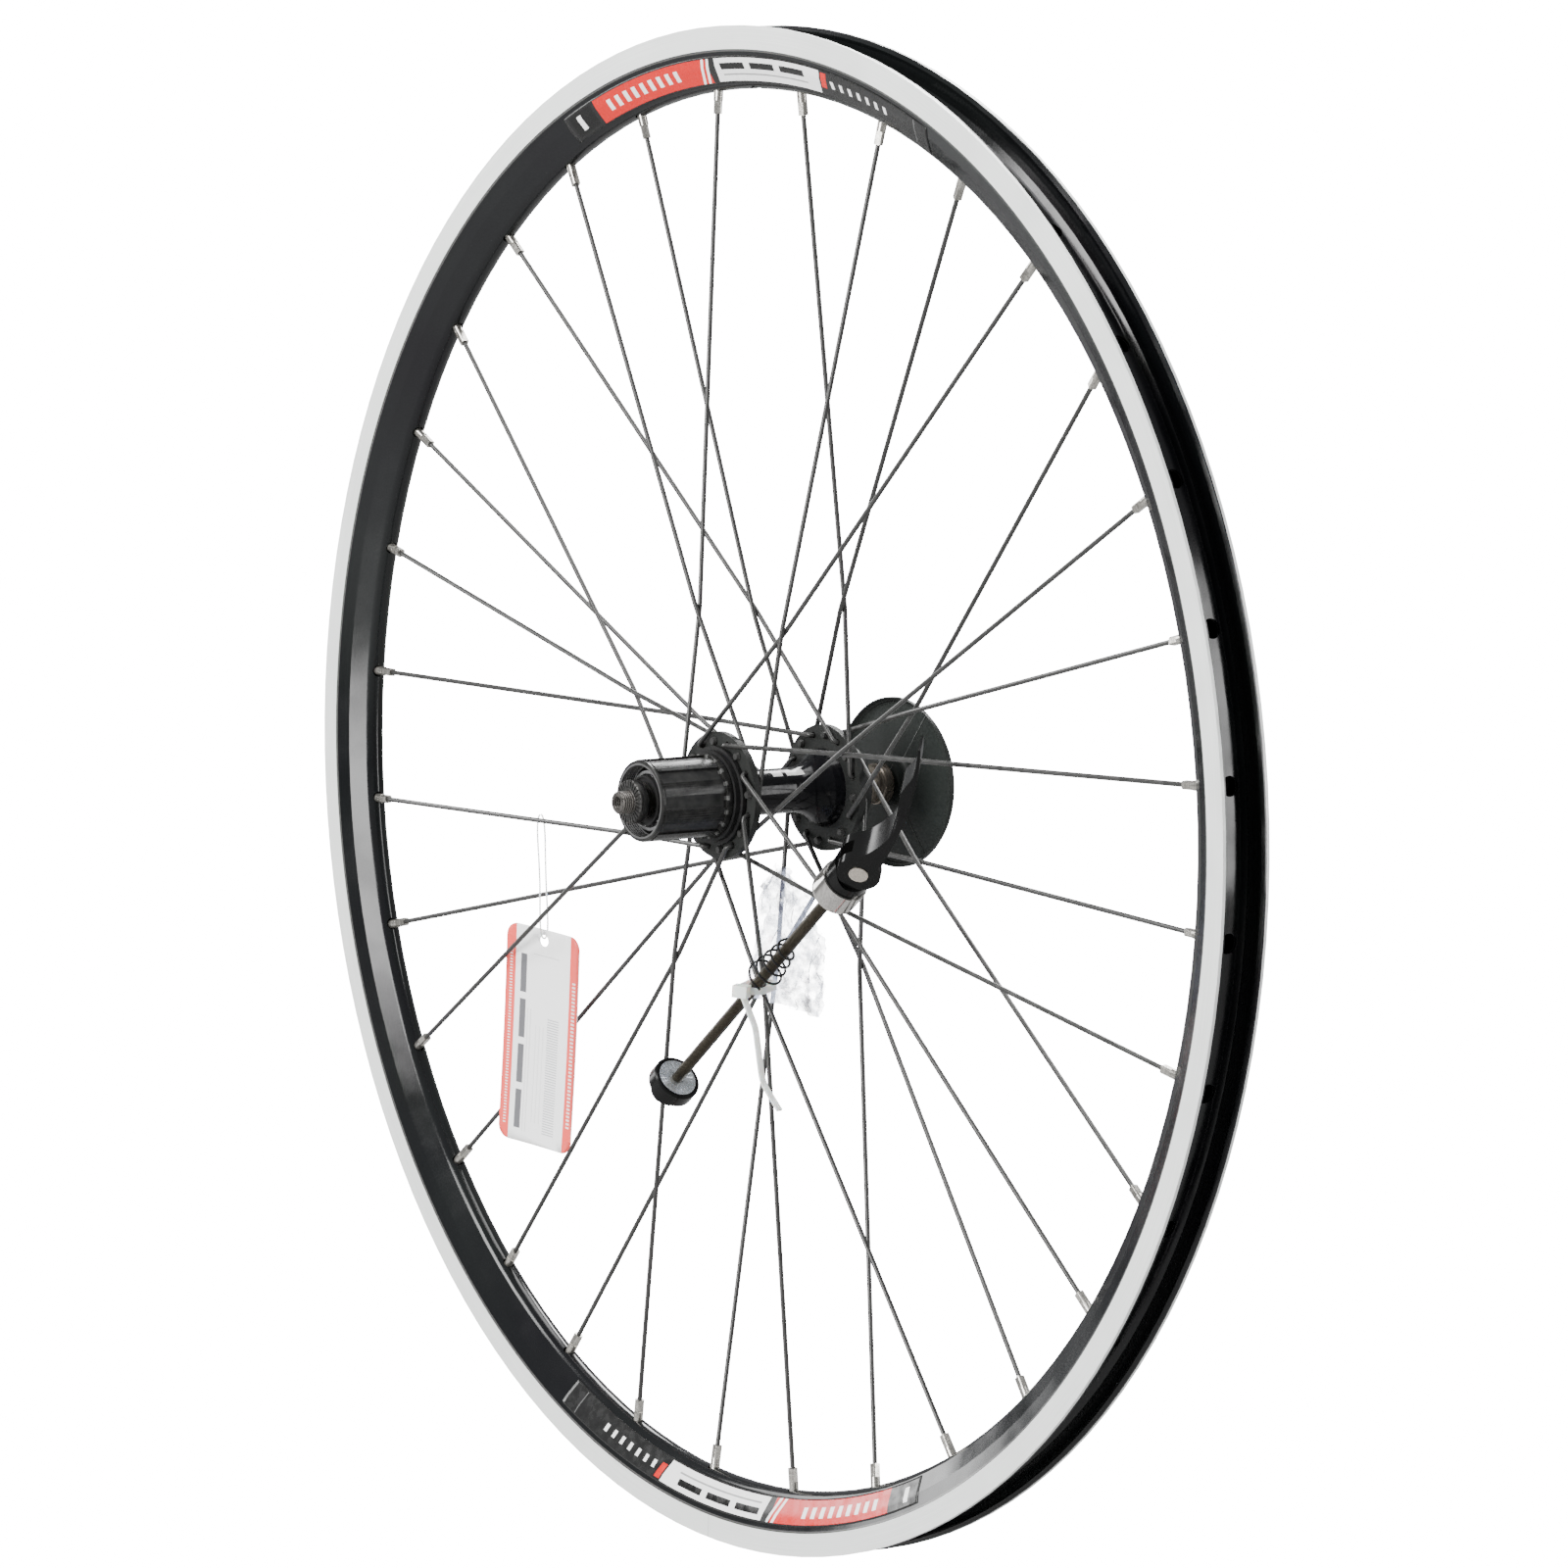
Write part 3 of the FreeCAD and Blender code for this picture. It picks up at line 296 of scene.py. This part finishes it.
def rim_paint():
    """Gloss black anodising with bright machined brake tracks and a bare joint line."""
    joint_from, joint_to = -1.6250, -1.6243
    paint = Paint("rim_alloy", BLACK, 0.16)
    radius, angle, y = paint.about_axle()
    out = paint.absolute(y)
    track = paint.times(paint.above(out, RIM_HALF - 0.25 * MM), paint.above(radius, TRACK_R))
    lip = paint.times(paint.above(radius, RIM_R - 0.25 * MM), paint.above(out, RIM_HALF - 1.4 * MM))
    bare = paint.math("MAXIMUM", track, lip)

    turned = paint.join(paint.times(radius, 5200.0), paint.times(angle, 3.0), 0.0)
    rings = paint.grain(1.0, 2.0, turned)
    silver = paint.mix(paint.ramp(rings, 0.0, 1.0), (0.80, 0.82, 0.80), (0.90, 0.92, 0.90))
    silver = paint.mix(paint.between(angle, joint_from, joint_to), silver, (0.38, 0.38, 0.38))

    dark = paint.mix(paint.ramp(paint.grain(9.0), 0.0, 1.0), BLACK, (0.007, 0.008, 0.008))
    edge = paint.between(radius, TRACK_R - 0.9 * MM, TRACK_R - 0.2 * MM)
    dark = paint.mix(edge, dark, (0.07, 0.07, 0.068))

    smear = paint.ramp(paint.grain(40.0), 0.09, 0.20)
    paint.set("Base Color", paint.mix(bare, dark, silver))
    paint.set("Metallic", paint.times(bare, 0.35))
    paint.set("Roughness", paint.plus(smear, paint.times(bare, 0.30)))
    paint.set("Specular IOR Level", PRINT_SHINE)
    paint.bump(paint.times(rings, track), 0.00002, 0.5)
    return paint.material


def hub_paint():
    """Gloss black barrel between satin flanges, with two plain pale blocks on the barrel."""
    flange_r, barrel_r = 16.6 * MM, 10.2 * MM
    paint = Paint("hub_black", BLACK, 0.14)
    radius, angle, y = paint.about_axle()
    flange = paint.above(radius, flange_r)
    cloud = paint.grain(500.0)
    paint.set("Roughness", paint.plus(paint.ramp(cloud, 0.10, 0.20), paint.times(flange, 0.36)))

    along = paint.plus(paint.between(y, 4.0 * MM, 9.0 * MM), paint.between(y, 11.0 * MM, 20.0 * MM))
    blocks = paint.times(along, paint.between(angle, 0.82, 1.18))
    blocks = paint.times(blocks, paint.below(radius, barrel_r))
    body = paint.mix(flange, BLACK, (0.016, 0.017, 0.016))
    paint.set("Base Color", paint.mix(blocks, body, (0.75, 0.75, 0.73)))
    paint.set("Specular IOR Level", BLACK_SHINE)
    paint.bump(cloud, 0.00001, 0.3)
    return paint.material


def threaded(name, colour, rough, pitch, depth):
    """Worn dark steel with thread rings along the axle."""
    paint = Paint(name, colour, rough, 0.85)
    _, y, _ = paint.split(paint.place())
    wave = paint.math("SINE", paint.times(y, math.tau / pitch))
    wear = paint.grain(420.0, 4.0)
    worn = paint.mix(wear, colour, scaled(colour, 1.5))
    crest = paint.ramp(wave, 0.0, 1.0, -0.4, 0.8)
    paint.set("Base Color", paint.mix(crest, scaled(colour, 0.55), worn))
    paint.set("Roughness", paint.ramp(wear, rough * 0.8, rough * 1.3))
    paint.bump(wave, depth, 0.8)
    return paint.material


def freehub_paint():
    """Dark plated splines, dull in the grooves, with pale notches at the inner shoulder."""
    groove_r, mouth_r, mouth_y, pitch = 16.6 * MM, 15.6 * MM, -53.0 * MM, 1.06 * MM
    notches_per_radian, notch_share = 2.865, 0.30
    paint = Paint("freehub_steel", (0.014, 0.014, 0.014), 0.24)
    radius, angle, y = paint.about_axle()
    streak = paint.grain(1.0, 3.0, paint.join(paint.times(angle, 30.0), paint.times(y, 60.0), 0.0))
    groove = paint.below(radius, groove_r)
    paint.set("Roughness", paint.plus(paint.ramp(streak, 0.16, 0.30), paint.times(groove, 0.16)))

    cloud = paint.grain(240.0, 4.0)
    skin = paint.mix(paint.ramp(cloud, 0.0, 1.0), (0.010, 0.010, 0.010), (0.022, 0.022, 0.021))
    step = paint.math("FRACT", paint.times(angle, notches_per_radian))
    notch = paint.times(paint.between(y, -28.2 * MM, -26.4 * MM), paint.below(step, notch_share))
    skin = paint.mix(notch, skin, (0.09, 0.09, 0.088))
    mouth = paint.times(paint.below(radius, mouth_r), paint.below(y, mouth_y))
    paint.set("Base Color", paint.mix(paint.times(mouth, 0.7), skin, (0.10, 0.10, 0.10)))

    thread = paint.math("SINE", paint.times(y, math.tau / pitch))
    height = paint.times(paint.times(mouth, thread), 0.00025)
    paint.bump(paint.plus(height, paint.times(cloud, 0.000004)), 1.0, 0.9)
    paint.set("Specular IOR Level", BLACK_SHINE)
    return paint.material


def protector_paint():
    """Dark satin plastic disc with faint moulded ribs and a ring."""
    ribs_per_radian, ring_r = 0.4775, 34.4 * MM
    paint = Paint("protector_plastic", (0.030, 0.033, 0.031), 0.42)
    radius, angle, _ = paint.about_axle()
    step = paint.math("FRACT", paint.times(angle, ribs_per_radian))
    rib = paint.ramp(paint.absolute(paint.minus(step, 0.5)), 1.0, 0.0, 0.0, 0.008)
    ring = paint.ramp(paint.absolute(paint.minus(radius, ring_r)), 1.0, 0.0, 0.0, 0.5 * MM)
    grain = paint.grain(900.0)
    height = paint.plus(paint.times(rib, 0.0006), paint.times(ring, 0.0003))
    paint.bump(paint.plus(height, paint.times(grain, 0.00001)), 1.0, 0.8)
    paint.set("Base Color", paint.mix(paint.grain(30.0), (0.012, 0.014, 0.013), (0.020, 0.023, 0.021)))
    paint.set("Roughness", paint.ramp(grain, 0.34, 0.48))
    paint.set("Specular IOR Level", BLACK_SHINE)
    return paint.material


def gloss_black(name, shade, rough, scale):
    """Black finish with a faint unevenness."""
    paint = Paint(name, (shade, shade, shade * 1.04), rough)
    cloud = paint.grain(scale)
    paint.set("Roughness", paint.ramp(cloud, rough * 0.8, rough * 1.3))
    paint.set("Base Color", paint.mix(cloud, (shade * 0.8,) * 3, (shade * 1.3,) * 3))
    paint.bump(paint.grain(900.0), 0.00001, 0.3)
    paint.set("Specular IOR Level", BLACK_SHINE)
    return paint.material


def steel(name, dark, light, rough, fine=2800.0):
    """Turned steel: fine rings about the axle and a little staining."""
    paint = Paint(name, light, rough, 0.9)
    radius, angle, y = paint.about_axle()
    turned = paint.join(paint.times(radius, fine), paint.times(angle, 2.0), paint.times(y, fine))
    rings = paint.grain(1.0, 3.0, turned)
    paint.set("Base Color", paint.mix(paint.ramp(rings, 0.0, 1.0), dark, light))
    paint.set("Roughness", paint.ramp(paint.grain(120.0), rough * 0.8, rough * 1.3))
    paint.bump(rings, 0.00002, 0.4)
    return paint.material


def spoke_paint():
    """Black coated stainless wire with a soft sheen."""
    paint = Paint("spoke_black", (0.04, 0.04, 0.04), 0.34, 0.5)
    cloud = paint.grain(220.0)
    paint.set("Base Color", paint.mix(cloud, (0.034, 0.034, 0.033), (0.066, 0.066, 0.064)))
    paint.set("Roughness", paint.ramp(cloud, 0.28, 0.42))
    return paint.material


def nylon(name, colour, alpha, rough):
    """Milky nylon that lets some light through."""
    paint = Paint(name, colour, rough)
    paint.set("Base Color", paint.mix(paint.grain(300.0), colour, scaled(colour, 0.93)))
    paint.set("Subsurface Weight", 0.3)
    paint.set("Alpha", alpha)
    paint.bump(paint.grain(800.0), 0.00002, 0.3)
    return paint.material


def dress_frame():
    """Give every CAD node its material."""
    dress(rim_paint(), "rim")
    dress(spoke_paint(), "ds_inner_spokes", "ds_outer_spokes", "nds_inner_spokes", "nds_outer_spokes")
    dress(steel("nipple_brass", (0.30, 0.29, 0.26), (0.60, 0.58, 0.54), 0.22, 2000.0),
          "ds_nipples", "nds_nipples")
    dress(hub_paint(), "hub_shell", "nds_dust_cap")
    dress(freehub_paint(), "freehub_body")
    dress(steel("race_steel", (0.4, 0.4, 0.4), (0.65, 0.65, 0.65), 0.2), "nds_cup", "freehub_core",
          "freehub_bolt", "pawl_a", "pawl_b")
    dress(steel("ball_steel", (0.7, 0.7, 0.7), (0.85, 0.85, 0.85), 0.08), "nds_balls", "ds_balls",
          "outer_rollers", "inner_rollers")
    dress(threaded("axle_steel", (0.16, 0.15, 0.14), 0.34, 1.0 * MM, 0.00025), "axle")
    dress(steel("cone_steel", (0.12, 0.105, 0.085), (0.25, 0.22, 0.185), 0.30), "nds_cone", "nds_spacer",
          "nds_washer", "nds_locknut")
    dress(steel("inner_steel", (0.040, 0.038, 0.036), (0.090, 0.086, 0.080), 0.36), "ds_cone", "ds_spacer")
    dress(steel("locknut_steel", (0.030, 0.030, 0.030), (0.085, 0.083, 0.080), 0.40), "ds_locknut")
    dress(gloss_black("seal_rubber", 0.012, 0.42, 300.0), "ds_cone_cover", "freehub_dust_ring")
    dress(steel("rod_steel", (0.026, 0.022, 0.015), (0.052, 0.045, 0.033), 0.42), "skewer_rod")
    dress(gloss_black("skewer_black", 0.005, 0.20, 200.0), "skewer_nut", "cam_seat")
    dress(gloss_black("lever_black", 0.004, 0.12, 90.0), "qr_lever")
    dress(steel("cup_chrome", (0.40, 0.39, 0.37), (0.62, 0.60, 0.57), 0.10), "cam_cup")
    dress(steel("insert_zinc", (0.66, 0.69, 0.72), (0.88, 0.91, 0.94), 0.24), "skewer_nut_insert")
    dress(steel("barrel_steel", (0.50, 0.46, 0.40), (0.66, 0.61, 0.54), 0.3), "cam_barrel")
    dress(gloss_black("spring_black", 0.010, 0.3, 500.0), "skewer_spring")
    dress(protector_paint(), "axle_protector")
    dress(nylon("card", (0.92, 0.92, 0.9), 1.0, 0.5), "hang_tag")
    dress(nylon("clear_nylon", (0.9, 0.9, 0.9), 0.5, 0.2), "tag_string")
    dress(nylon("tie_nylon", (0.88, 0.87, 0.80), 0.9, 0.35), "cable_tie")
    dress(nylon("clear_film", (0.9, 0.9, 0.92), 0.3, 0.2), "parts_bag")


# ---------------------------------------------------------------- mesh helpers

def new_piece(name, mesh, body, slot, material, *nodes):
    """Link a mesh as a piece that rides on a body and may stand for CAD nodes."""
    piece = bpy.data.objects.new(name, mesh)
    bpy.context.scene.collection.objects.link(piece)
    mesh.materials.append(material)
    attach(piece, body)
    for node in nodes:
        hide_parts(node)
    return piece


def grid_mesh(name, rows, columns, point):
    """Return a smooth sheet of quads with point(u, v) at each corner, and its UV map."""
    bm = bmesh.new()
    layer = bm.loops.layers.uv.new("UVMap")
    shares = [[(c / columns, r / rows) for c in range(columns + 1)] for r in range(rows + 1)]
    corners = [[bm.verts.new(point(u, v)) for u, v in line] for line in shares]
    for r in range(rows):
        for c in range(columns):
            spots = ((r, c), (r, c + 1), (r + 1, c + 1), (r + 1, c))
            face = bm.faces.new([corners[i][j] for i, j in spots])
            face.smooth = True
            for loop, (i, j) in zip(face.loops, spots):
                loop[layer].uv = shares[i][j]
    mesh = bpy.data.meshes.new(name)
    bm.to_mesh(mesh)
    bm.free()
    return mesh


class Print(Paint):
    """A printed surface: flat marks laid over each other in (u, v)."""

    def __init__(self, name, colour, rough):
        super().__init__(name, colour, rough)
        node = self.tree.nodes.new("ShaderNodeUVMap")
        node.uv_map = "UVMap"
        self.u, self.v, _ = self.split(node.outputs[0])
        self.ink = colour

    def block(self, u, v, colour, slant=0.0):
        """Print a block between two values of u and two of v; slant shifts u by v."""
        across = self.plus(self.u, self.times(self.v, slant)) if slant else self.u
        mask = self.times(self.between(across, *u), self.between(self.v, *v))
        self.ink = self.mix(mask, self.ink, colour)

    def striped(self, u, v, colour, along, span, count, duty):
        """Print a block broken into equal stripes along u or v."""
        phase = self.times(self.minus(along, span[0]), count / (span[1] - span[0]))
        stripe = self.below(self.math("FRACT", phase), duty)
        block = self.times(self.between(self.u, *u), self.between(self.v, *v))
        self.ink = self.mix(self.times(block, stripe), self.ink, colour)

    def bars(self, u, v, colour, count, duty):
        """Print a row of equal bars side by side inside a block."""
        self.striped(u, v, colour, self.u, u, count, duty)

    def rungs(self, u, v, colour, count, duty):
        """Print equal bars one above another inside a block."""
        self.striped(u, v, colour, self.v, v, count, duty)

    def done(self):
        """Send the finished print to the shader."""
        self.set("Base Color", self.ink)
        return self.material


# ---------------------------------------------------------------- rim labels

def label_print():
    """Generic racing label: plain blocks, bars and stripes with no lettering."""
    ink = Print("label_print", GREY, 0.22)
    ink.block((0.012, 0.075), (0.12, 0.90), INK)
    ink.block((0.030, 0.042), (0.24, 0.78), WHITE)
    ink.block((0.085, 0.405), (0.04, 0.94), RED)
    ink.bars((0.118, 0.335), (0.30, 0.70), WHITE, 9, 0.45)
    ink.block((0.374, 0.381), (0.04, 0.94), WHITE, -0.022)
    ink.block((0.388, 0.395), (0.04, 0.94), WHITE, -0.022)
    ink.block((0.405, 0.420), (0.0, 1.0), GREY, -0.01)
    ink.block((0.420, 0.700), (0.06, 0.93), WHITE, -0.01)
    ink.bars((0.440, 0.680), (0.50, 0.74), INK, 3, 0.80)
    ink.block((0.440, 0.670), (0.28, 0.34), (0.30, 0.30, 0.30))
    ink.block((0.704, 0.718), (0.30, 0.88), RED, -0.01)
    ink.bars((0.735, 0.900), (0.36, 0.64), WHITE, 7, 0.35)
    ink.block((0.962, 0.964), (0.06, 0.94), (0.11, 0.11, 0.11))
    crinkle = ink.grain(260.0, 4.0)
    ink.set("Roughness", ink.ramp(crinkle, 0.14, 0.34))
    ink.bump(crinkle, 0.0002, 0.25)
    ink.set("Specular IOR Level", PRINT_SHINE)
    return ink.done()


def wall_half(radius):
    """Return the half width of the rim's wall at a radius, in millimetres."""
    steps = ((293.3, 4.45), (300.5, 8.8), (307.2, 11.5))
    for (r0, h0), (r1, h1) in zip(steps, steps[1:]):
        if radius <= r1:
            return h0 + (h1 - h0) * (radius - r0) / (r1 - r0)
    return steps[-1][1]


def make_label(name, start, sweep, side, material):
    """Lay a label on the rim's wall; side is -1 for the drive side."""
    inner, outer, lift, ripple = 293.7, 304.6, 0.12, 0.10

    def point(u, v):
        radius = inner + (outer - inner) * v
        angle = math.radians(start + sweep * u)
        pucker = ripple * max(0.0, noise.noise((u * 26.0, v * 2.0, start))) * (1.0 - v)
        y = side * (wall_half(radius) + lift + pucker)
        return Vector((radius * math.cos(angle), y, radius * math.sin(angle))) * MM

    mesh = grid_mesh(name, 14, 150, point)
    piece = new_piece(name, mesh, "wheel", "rim_alloy", material)
    skin = piece.modifiers.new("thickness", "SOLIDIFY")
    skin.thickness = 0.08 * MM
    skin.offset = -side if side * sweep > 0 else side


def make_labels():
    """Two labels on each wall, half a turn apart."""
    material = label_print()
    sweep = 49.5
    for name, start in (("upper", 114.75), ("lower", 294.75)):
        make_label("label_drive_" + name, start, -sweep, -1, material)
        make_label("label_far_" + name, start - sweep, sweep, 1, material)


# ---------------------------------------------------------------- hang tag and its string

def card_frame():
    """Return the card's own axes: across, up and out of its face, from its top edge's middle."""
    across = Vector((0.975, 0.20, -0.10)).normalized()
    out = across.cross(Vector((0.19, 0.0, 0.98))).normalized()
    up = out.cross(across)
    top = Vector((-157.6, 0.6, -74.4)) * MM
    return Matrix.Translation(top) @ Matrix((across, up, out)).transposed().to_4x4()


def card_print():
    """White card with red edges, grey bars and faint fine bars."""
    ink = Print("card_print", (0.97, 0.97, 0.965), 0.5)
    ink.bars((0.30, 0.38), (0.05, 0.62), (0.74, 0.74, 0.74), 2, 0.35)
    faint = (0.80, 0.80, 0.80)
    for left in (0.42, 0.47, 0.52):
        ink.block((left, left + 0.012), (0.10, 0.55), faint)
    ink.rungs((0.195, 0.275), (0.06, 0.90), (0.12, 0.12, 0.13), 4, 0.85)
    ink.rungs((0.58, 0.74), (0.06, 0.60), (0.50, 0.50, 0.52), 46, 0.45)
    ink.block((0.36, 0.72), (0.875, 0.879), (0.66, 0.66, 0.66))
    coral = (0.84, 0.075, 0.060)
    ink.block((0.0, 0.125), (0.0, 1.0), coral)
    ink.block((0.875, 1.0), (0.0, 1.0), coral)
    ink.rungs((0.052, 0.086), (0.07, 0.88), (0.95, 0.78, 0.76), 60, 0.46)
    ink.rungs((0.915, 0.962), (0.12, 0.80), (0.95, 0.80, 0.78), 40, 0.52)
    ink.bump(ink.grain(1500.0, 5.0), 0.00003, 0.2)
    return ink.done()


def make_card():
    """Thin card with rounded corners and a punched hole, slightly curled."""
    wide, high, thick, corner = 44.0, 97.0, 0.45, 6.0
    hole_r, hole_y, flat_r = 2.6, -5.0, 7.0
    right, foot = wide / 2 - corner, corner - high
    rim = []
    for x, y, turn in ((right, -corner, 0), (-right, -corner, 90), (-right, foot, 180), (right, foot, 270)):
        for step in range(9):
            angle = math.radians(turn + 90 * step / 8)
            rim.append((x + corner * math.cos(angle), y + corner * math.sin(angle)))
    turns = [math.tau * step / 24 for step in range(24)]
    hole = [(hole_r * math.cos(turn), hole_y + hole_r * math.sin(turn)) for turn in turns]

    bm = bmesh.new()
    layer = bm.loops.layers.uv.new("UVMap")
    for outline in (rim, hole):
        verts = [bm.verts.new((x, y, 0.0)) for x, y in outline]
        for first, second in zip(verts, verts[1:] + verts[:1]):
            bm.edges.new((first, second))
    bmesh.ops.triangle_fill(bm, use_beauty=True, edges=bm.edges[:])
    cuts = [((1, 0, 0), wide * index / 9 - wide / 2) for index in range(1, 9)]
    cuts += [((0, 1, 0), high * index / 16 - high) for index in range(1, 16)]
    for axis, place in cuts:
        parts = bm.verts[:] + bm.edges[:] + bm.faces[:]
        bmesh.ops.bisect_plane(bm, geom=parts, plane_co=Vector(axis) * place, plane_no=axis)
    for face in bm.faces:
        face.smooth = True
        for loop in face.loops:
            x, y, _ = loop.vert.co
            loop[layer].uv = (x / wide + 0.5, 1.0 + y / high)
    for vert in bm.verts:
        x, y, _ = vert.co
        curl = 0.9 * (x / wide * 2) ** 2 + 0.7 * math.sin(y / high * 3.0) - 0.2
        if (Vector((x, y)) - Vector((0, hole_y))).length < flat_r:
            curl *= 0.2
        vert.co = Vector((x, y, curl)) * MM
    mesh = bpy.data.meshes.new("tag_card")
    bm.to_mesh(mesh)
    bm.free()
    mesh.transform(card_frame())
    piece = new_piece("tag_card", mesh, "tag", "card", card_print(), "hang_tag")
    skin = piece.modifiers.new("thickness", "SOLIDIFY")
    skin.thickness = thick * MM
    skin.offset = 0.0


def make_string():
    """Clear line from the spoke down through the card's hole and back."""
    low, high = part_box("tag_string")
    top = Vector(((low[0] + high[0]) / 2, (low[1] + high[1]) / 2, high[2] - 0.0005))
    hole = card_frame() @ (Vector((0.0, -4.0, 0.0)) * MM)
    run = (top - hole).normalized()
    side = Vector((1, 0, 0)).cross(run).normalized()
    middle = (top + hole) / 2
    wave = Vector((1.0, 0.0, 0.0)) * MM
    gap = side * 2.3 * MM
    points = [top - side * 0.3 * MM, top - gap - run * 1.0 * MM,
              middle - gap - wave, hole - gap + run * 3.0 * MM,
              hole - run * 0.9 * MM,
              hole + gap + run * 3.0 * MM, middle + gap + wave * 1.6,
              top + gap - run * 1.0 * MM, top + side * 0.3 * MM]
    curve = bpy.data.curves.new("tag_line", "CURVE")
    curve.dimensions = "3D"
    curve.bevel_depth = 0.4 * MM
    curve.bevel_resolution = 3
    curve.resolution_u = 16
    spline = curve.splines.new("NURBS")
    spline.points.add(len(points) - 1)
    for spot, point in zip(spline.points, points):
        spot.co = (*point, 1.0)
    spline.order_u = 3
    spline.use_endpoint_u = True
    curve.materials.append(nylon("clear_line", (0.93, 0.93, 0.94), 0.75, 0.2))
    piece = bpy.data.objects.new("tag_line", curve)
    bpy.context.scene.collection.objects.link(piece)
    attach(piece, "wheel")
    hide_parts("tag_string")


# ---------------------------------------------------------------- film bag

def film_paint():
    """Clear crumpled film: painted shade and highlight (bluish panes, whiter creases), painted dark
    reflections as thin dark lines, and small tinted specks.
    """
    paint = Paint("film", (0.80, 0.83, 0.88), 0.08)
    creases = paint.grain(170.0, 6.0)
    fine = paint.grain(520.0, 4.0)
    x, y, z = paint.split(paint.place())
    along = paint.join(paint.times(x, 260.0), paint.times(y, 60.0), paint.times(z, 48.0))
    # painted dark reflections: thin dark streaks laid into the film's colour and opacity
    painted_dark_reflection = paint.ramp(paint.grain(1.0, 3.0, along), 0.0, 1.0, 0.60, 0.63)
    veil = paint.plus(paint.ramp(creases, 0.14, 0.62, 0.38, 0.60), paint.ramp(fine, 0.0, 0.2, 0.45, 0.7))
    speck = paint.grain(75.0, 1.0)
    # painted shade and highlight: darker bluish panes that turn whiter along the creases
    painted_shade_and_highlight = paint.mix(creases, (0.26, 0.32, 0.52), (0.80, 0.84, 0.94))
    # small tinted specks laid over the painted shade and highlight
    painted_shade_and_specks = paint.mix(paint.ramp(speck, 0.0, 1.0, 0.66, 0.72), painted_shade_and_highlight, (0.80, 0.22, 0.40))
    paint.set("Base Color", paint.mix(painted_dark_reflection, painted_shade_and_specks, (0.06, 0.06, 0.09)))
    paint.set("Alpha", paint.math("MAXIMUM", veil, paint.times(painted_dark_reflection, 0.8)))
    paint.bump(creases, 0.0012, 0.8)
    return paint.material


def make_bag():
    """Film bag gathered at the cable tie and fanned out behind the rod."""
    neck, neck_r = Vector((-6.5, -1.5, -85.5)), 3.0
    start, sweep = -6.0, 90.0
    reach = ((-6, 46.0), (12, 50.0), (34, 56.0), (58, 60.0), (74, 58.0), (84, 46.0))

    def far(angle):
        """Return how far the film reaches at an angle."""
        for (a0, r0), (a1, r1) in zip(reach, reach[1:]):
            if angle <= a1:
                return r0 + (r1 - r0) * (angle - a0) / (a1 - a0)
        return reach[-1][1]

    def sheet(front):
        """Return one wall of the bag; front is -1 for the drive side."""
        def point(u, v):
            angle = start + sweep * u
            ragged = 1.0 + 0.06 * noise.noise((u * 7.0, front * 3.0, 1.0))
            radius = neck_r + (far(angle) - neck_r) * v * ragged
            fold = math.sin(u * 31.0 + front * 1.3) * 1.6 * math.sqrt(v) * (1.25 - v)
            crumple = noise.noise((u * 9.0 + front * 5.0, v * 7.0, 2.0 + front)) * 3.6 * v
            crease = abs(noise.noise((u * 17.0, v * 13.0, 8.0 + front))) * 3.2 * v
            belly = 4.6 * math.sin(math.pi * min(1.0, v * 1.05)) * math.sin(math.pi * u)
            y = 3.6 + front * (belly + 0.5) + fold + crumple - crease * front
            turn = math.radians(angle + 2.5 * noise.noise((v * 6.0, u * 5.0, front)))
            place = Vector((neck.x + radius * math.cos(turn), 0.0, neck.z + radius * math.sin(turn)))
            place.y = neck.y + (y - neck.y) * min(1.0, v * 2.2)
            return place * MM
        return grid_mesh("film_sheet", 56, 84, point)

    material = film_paint()
    bm = bmesh.new()
    for front in (-1.0, 1.0):
        bm.from_mesh(sheet(front))
    mesh = bpy.data.meshes.new("film_bag")
    bm.to_mesh(mesh)
    bm.free()
    piece = new_piece("film_bag", mesh, "wheel", "clear_film", material, "parts_bag")


make_camera()
make_stage()
dress_frame()
make_labels()
make_card()
make_string()
make_bag()
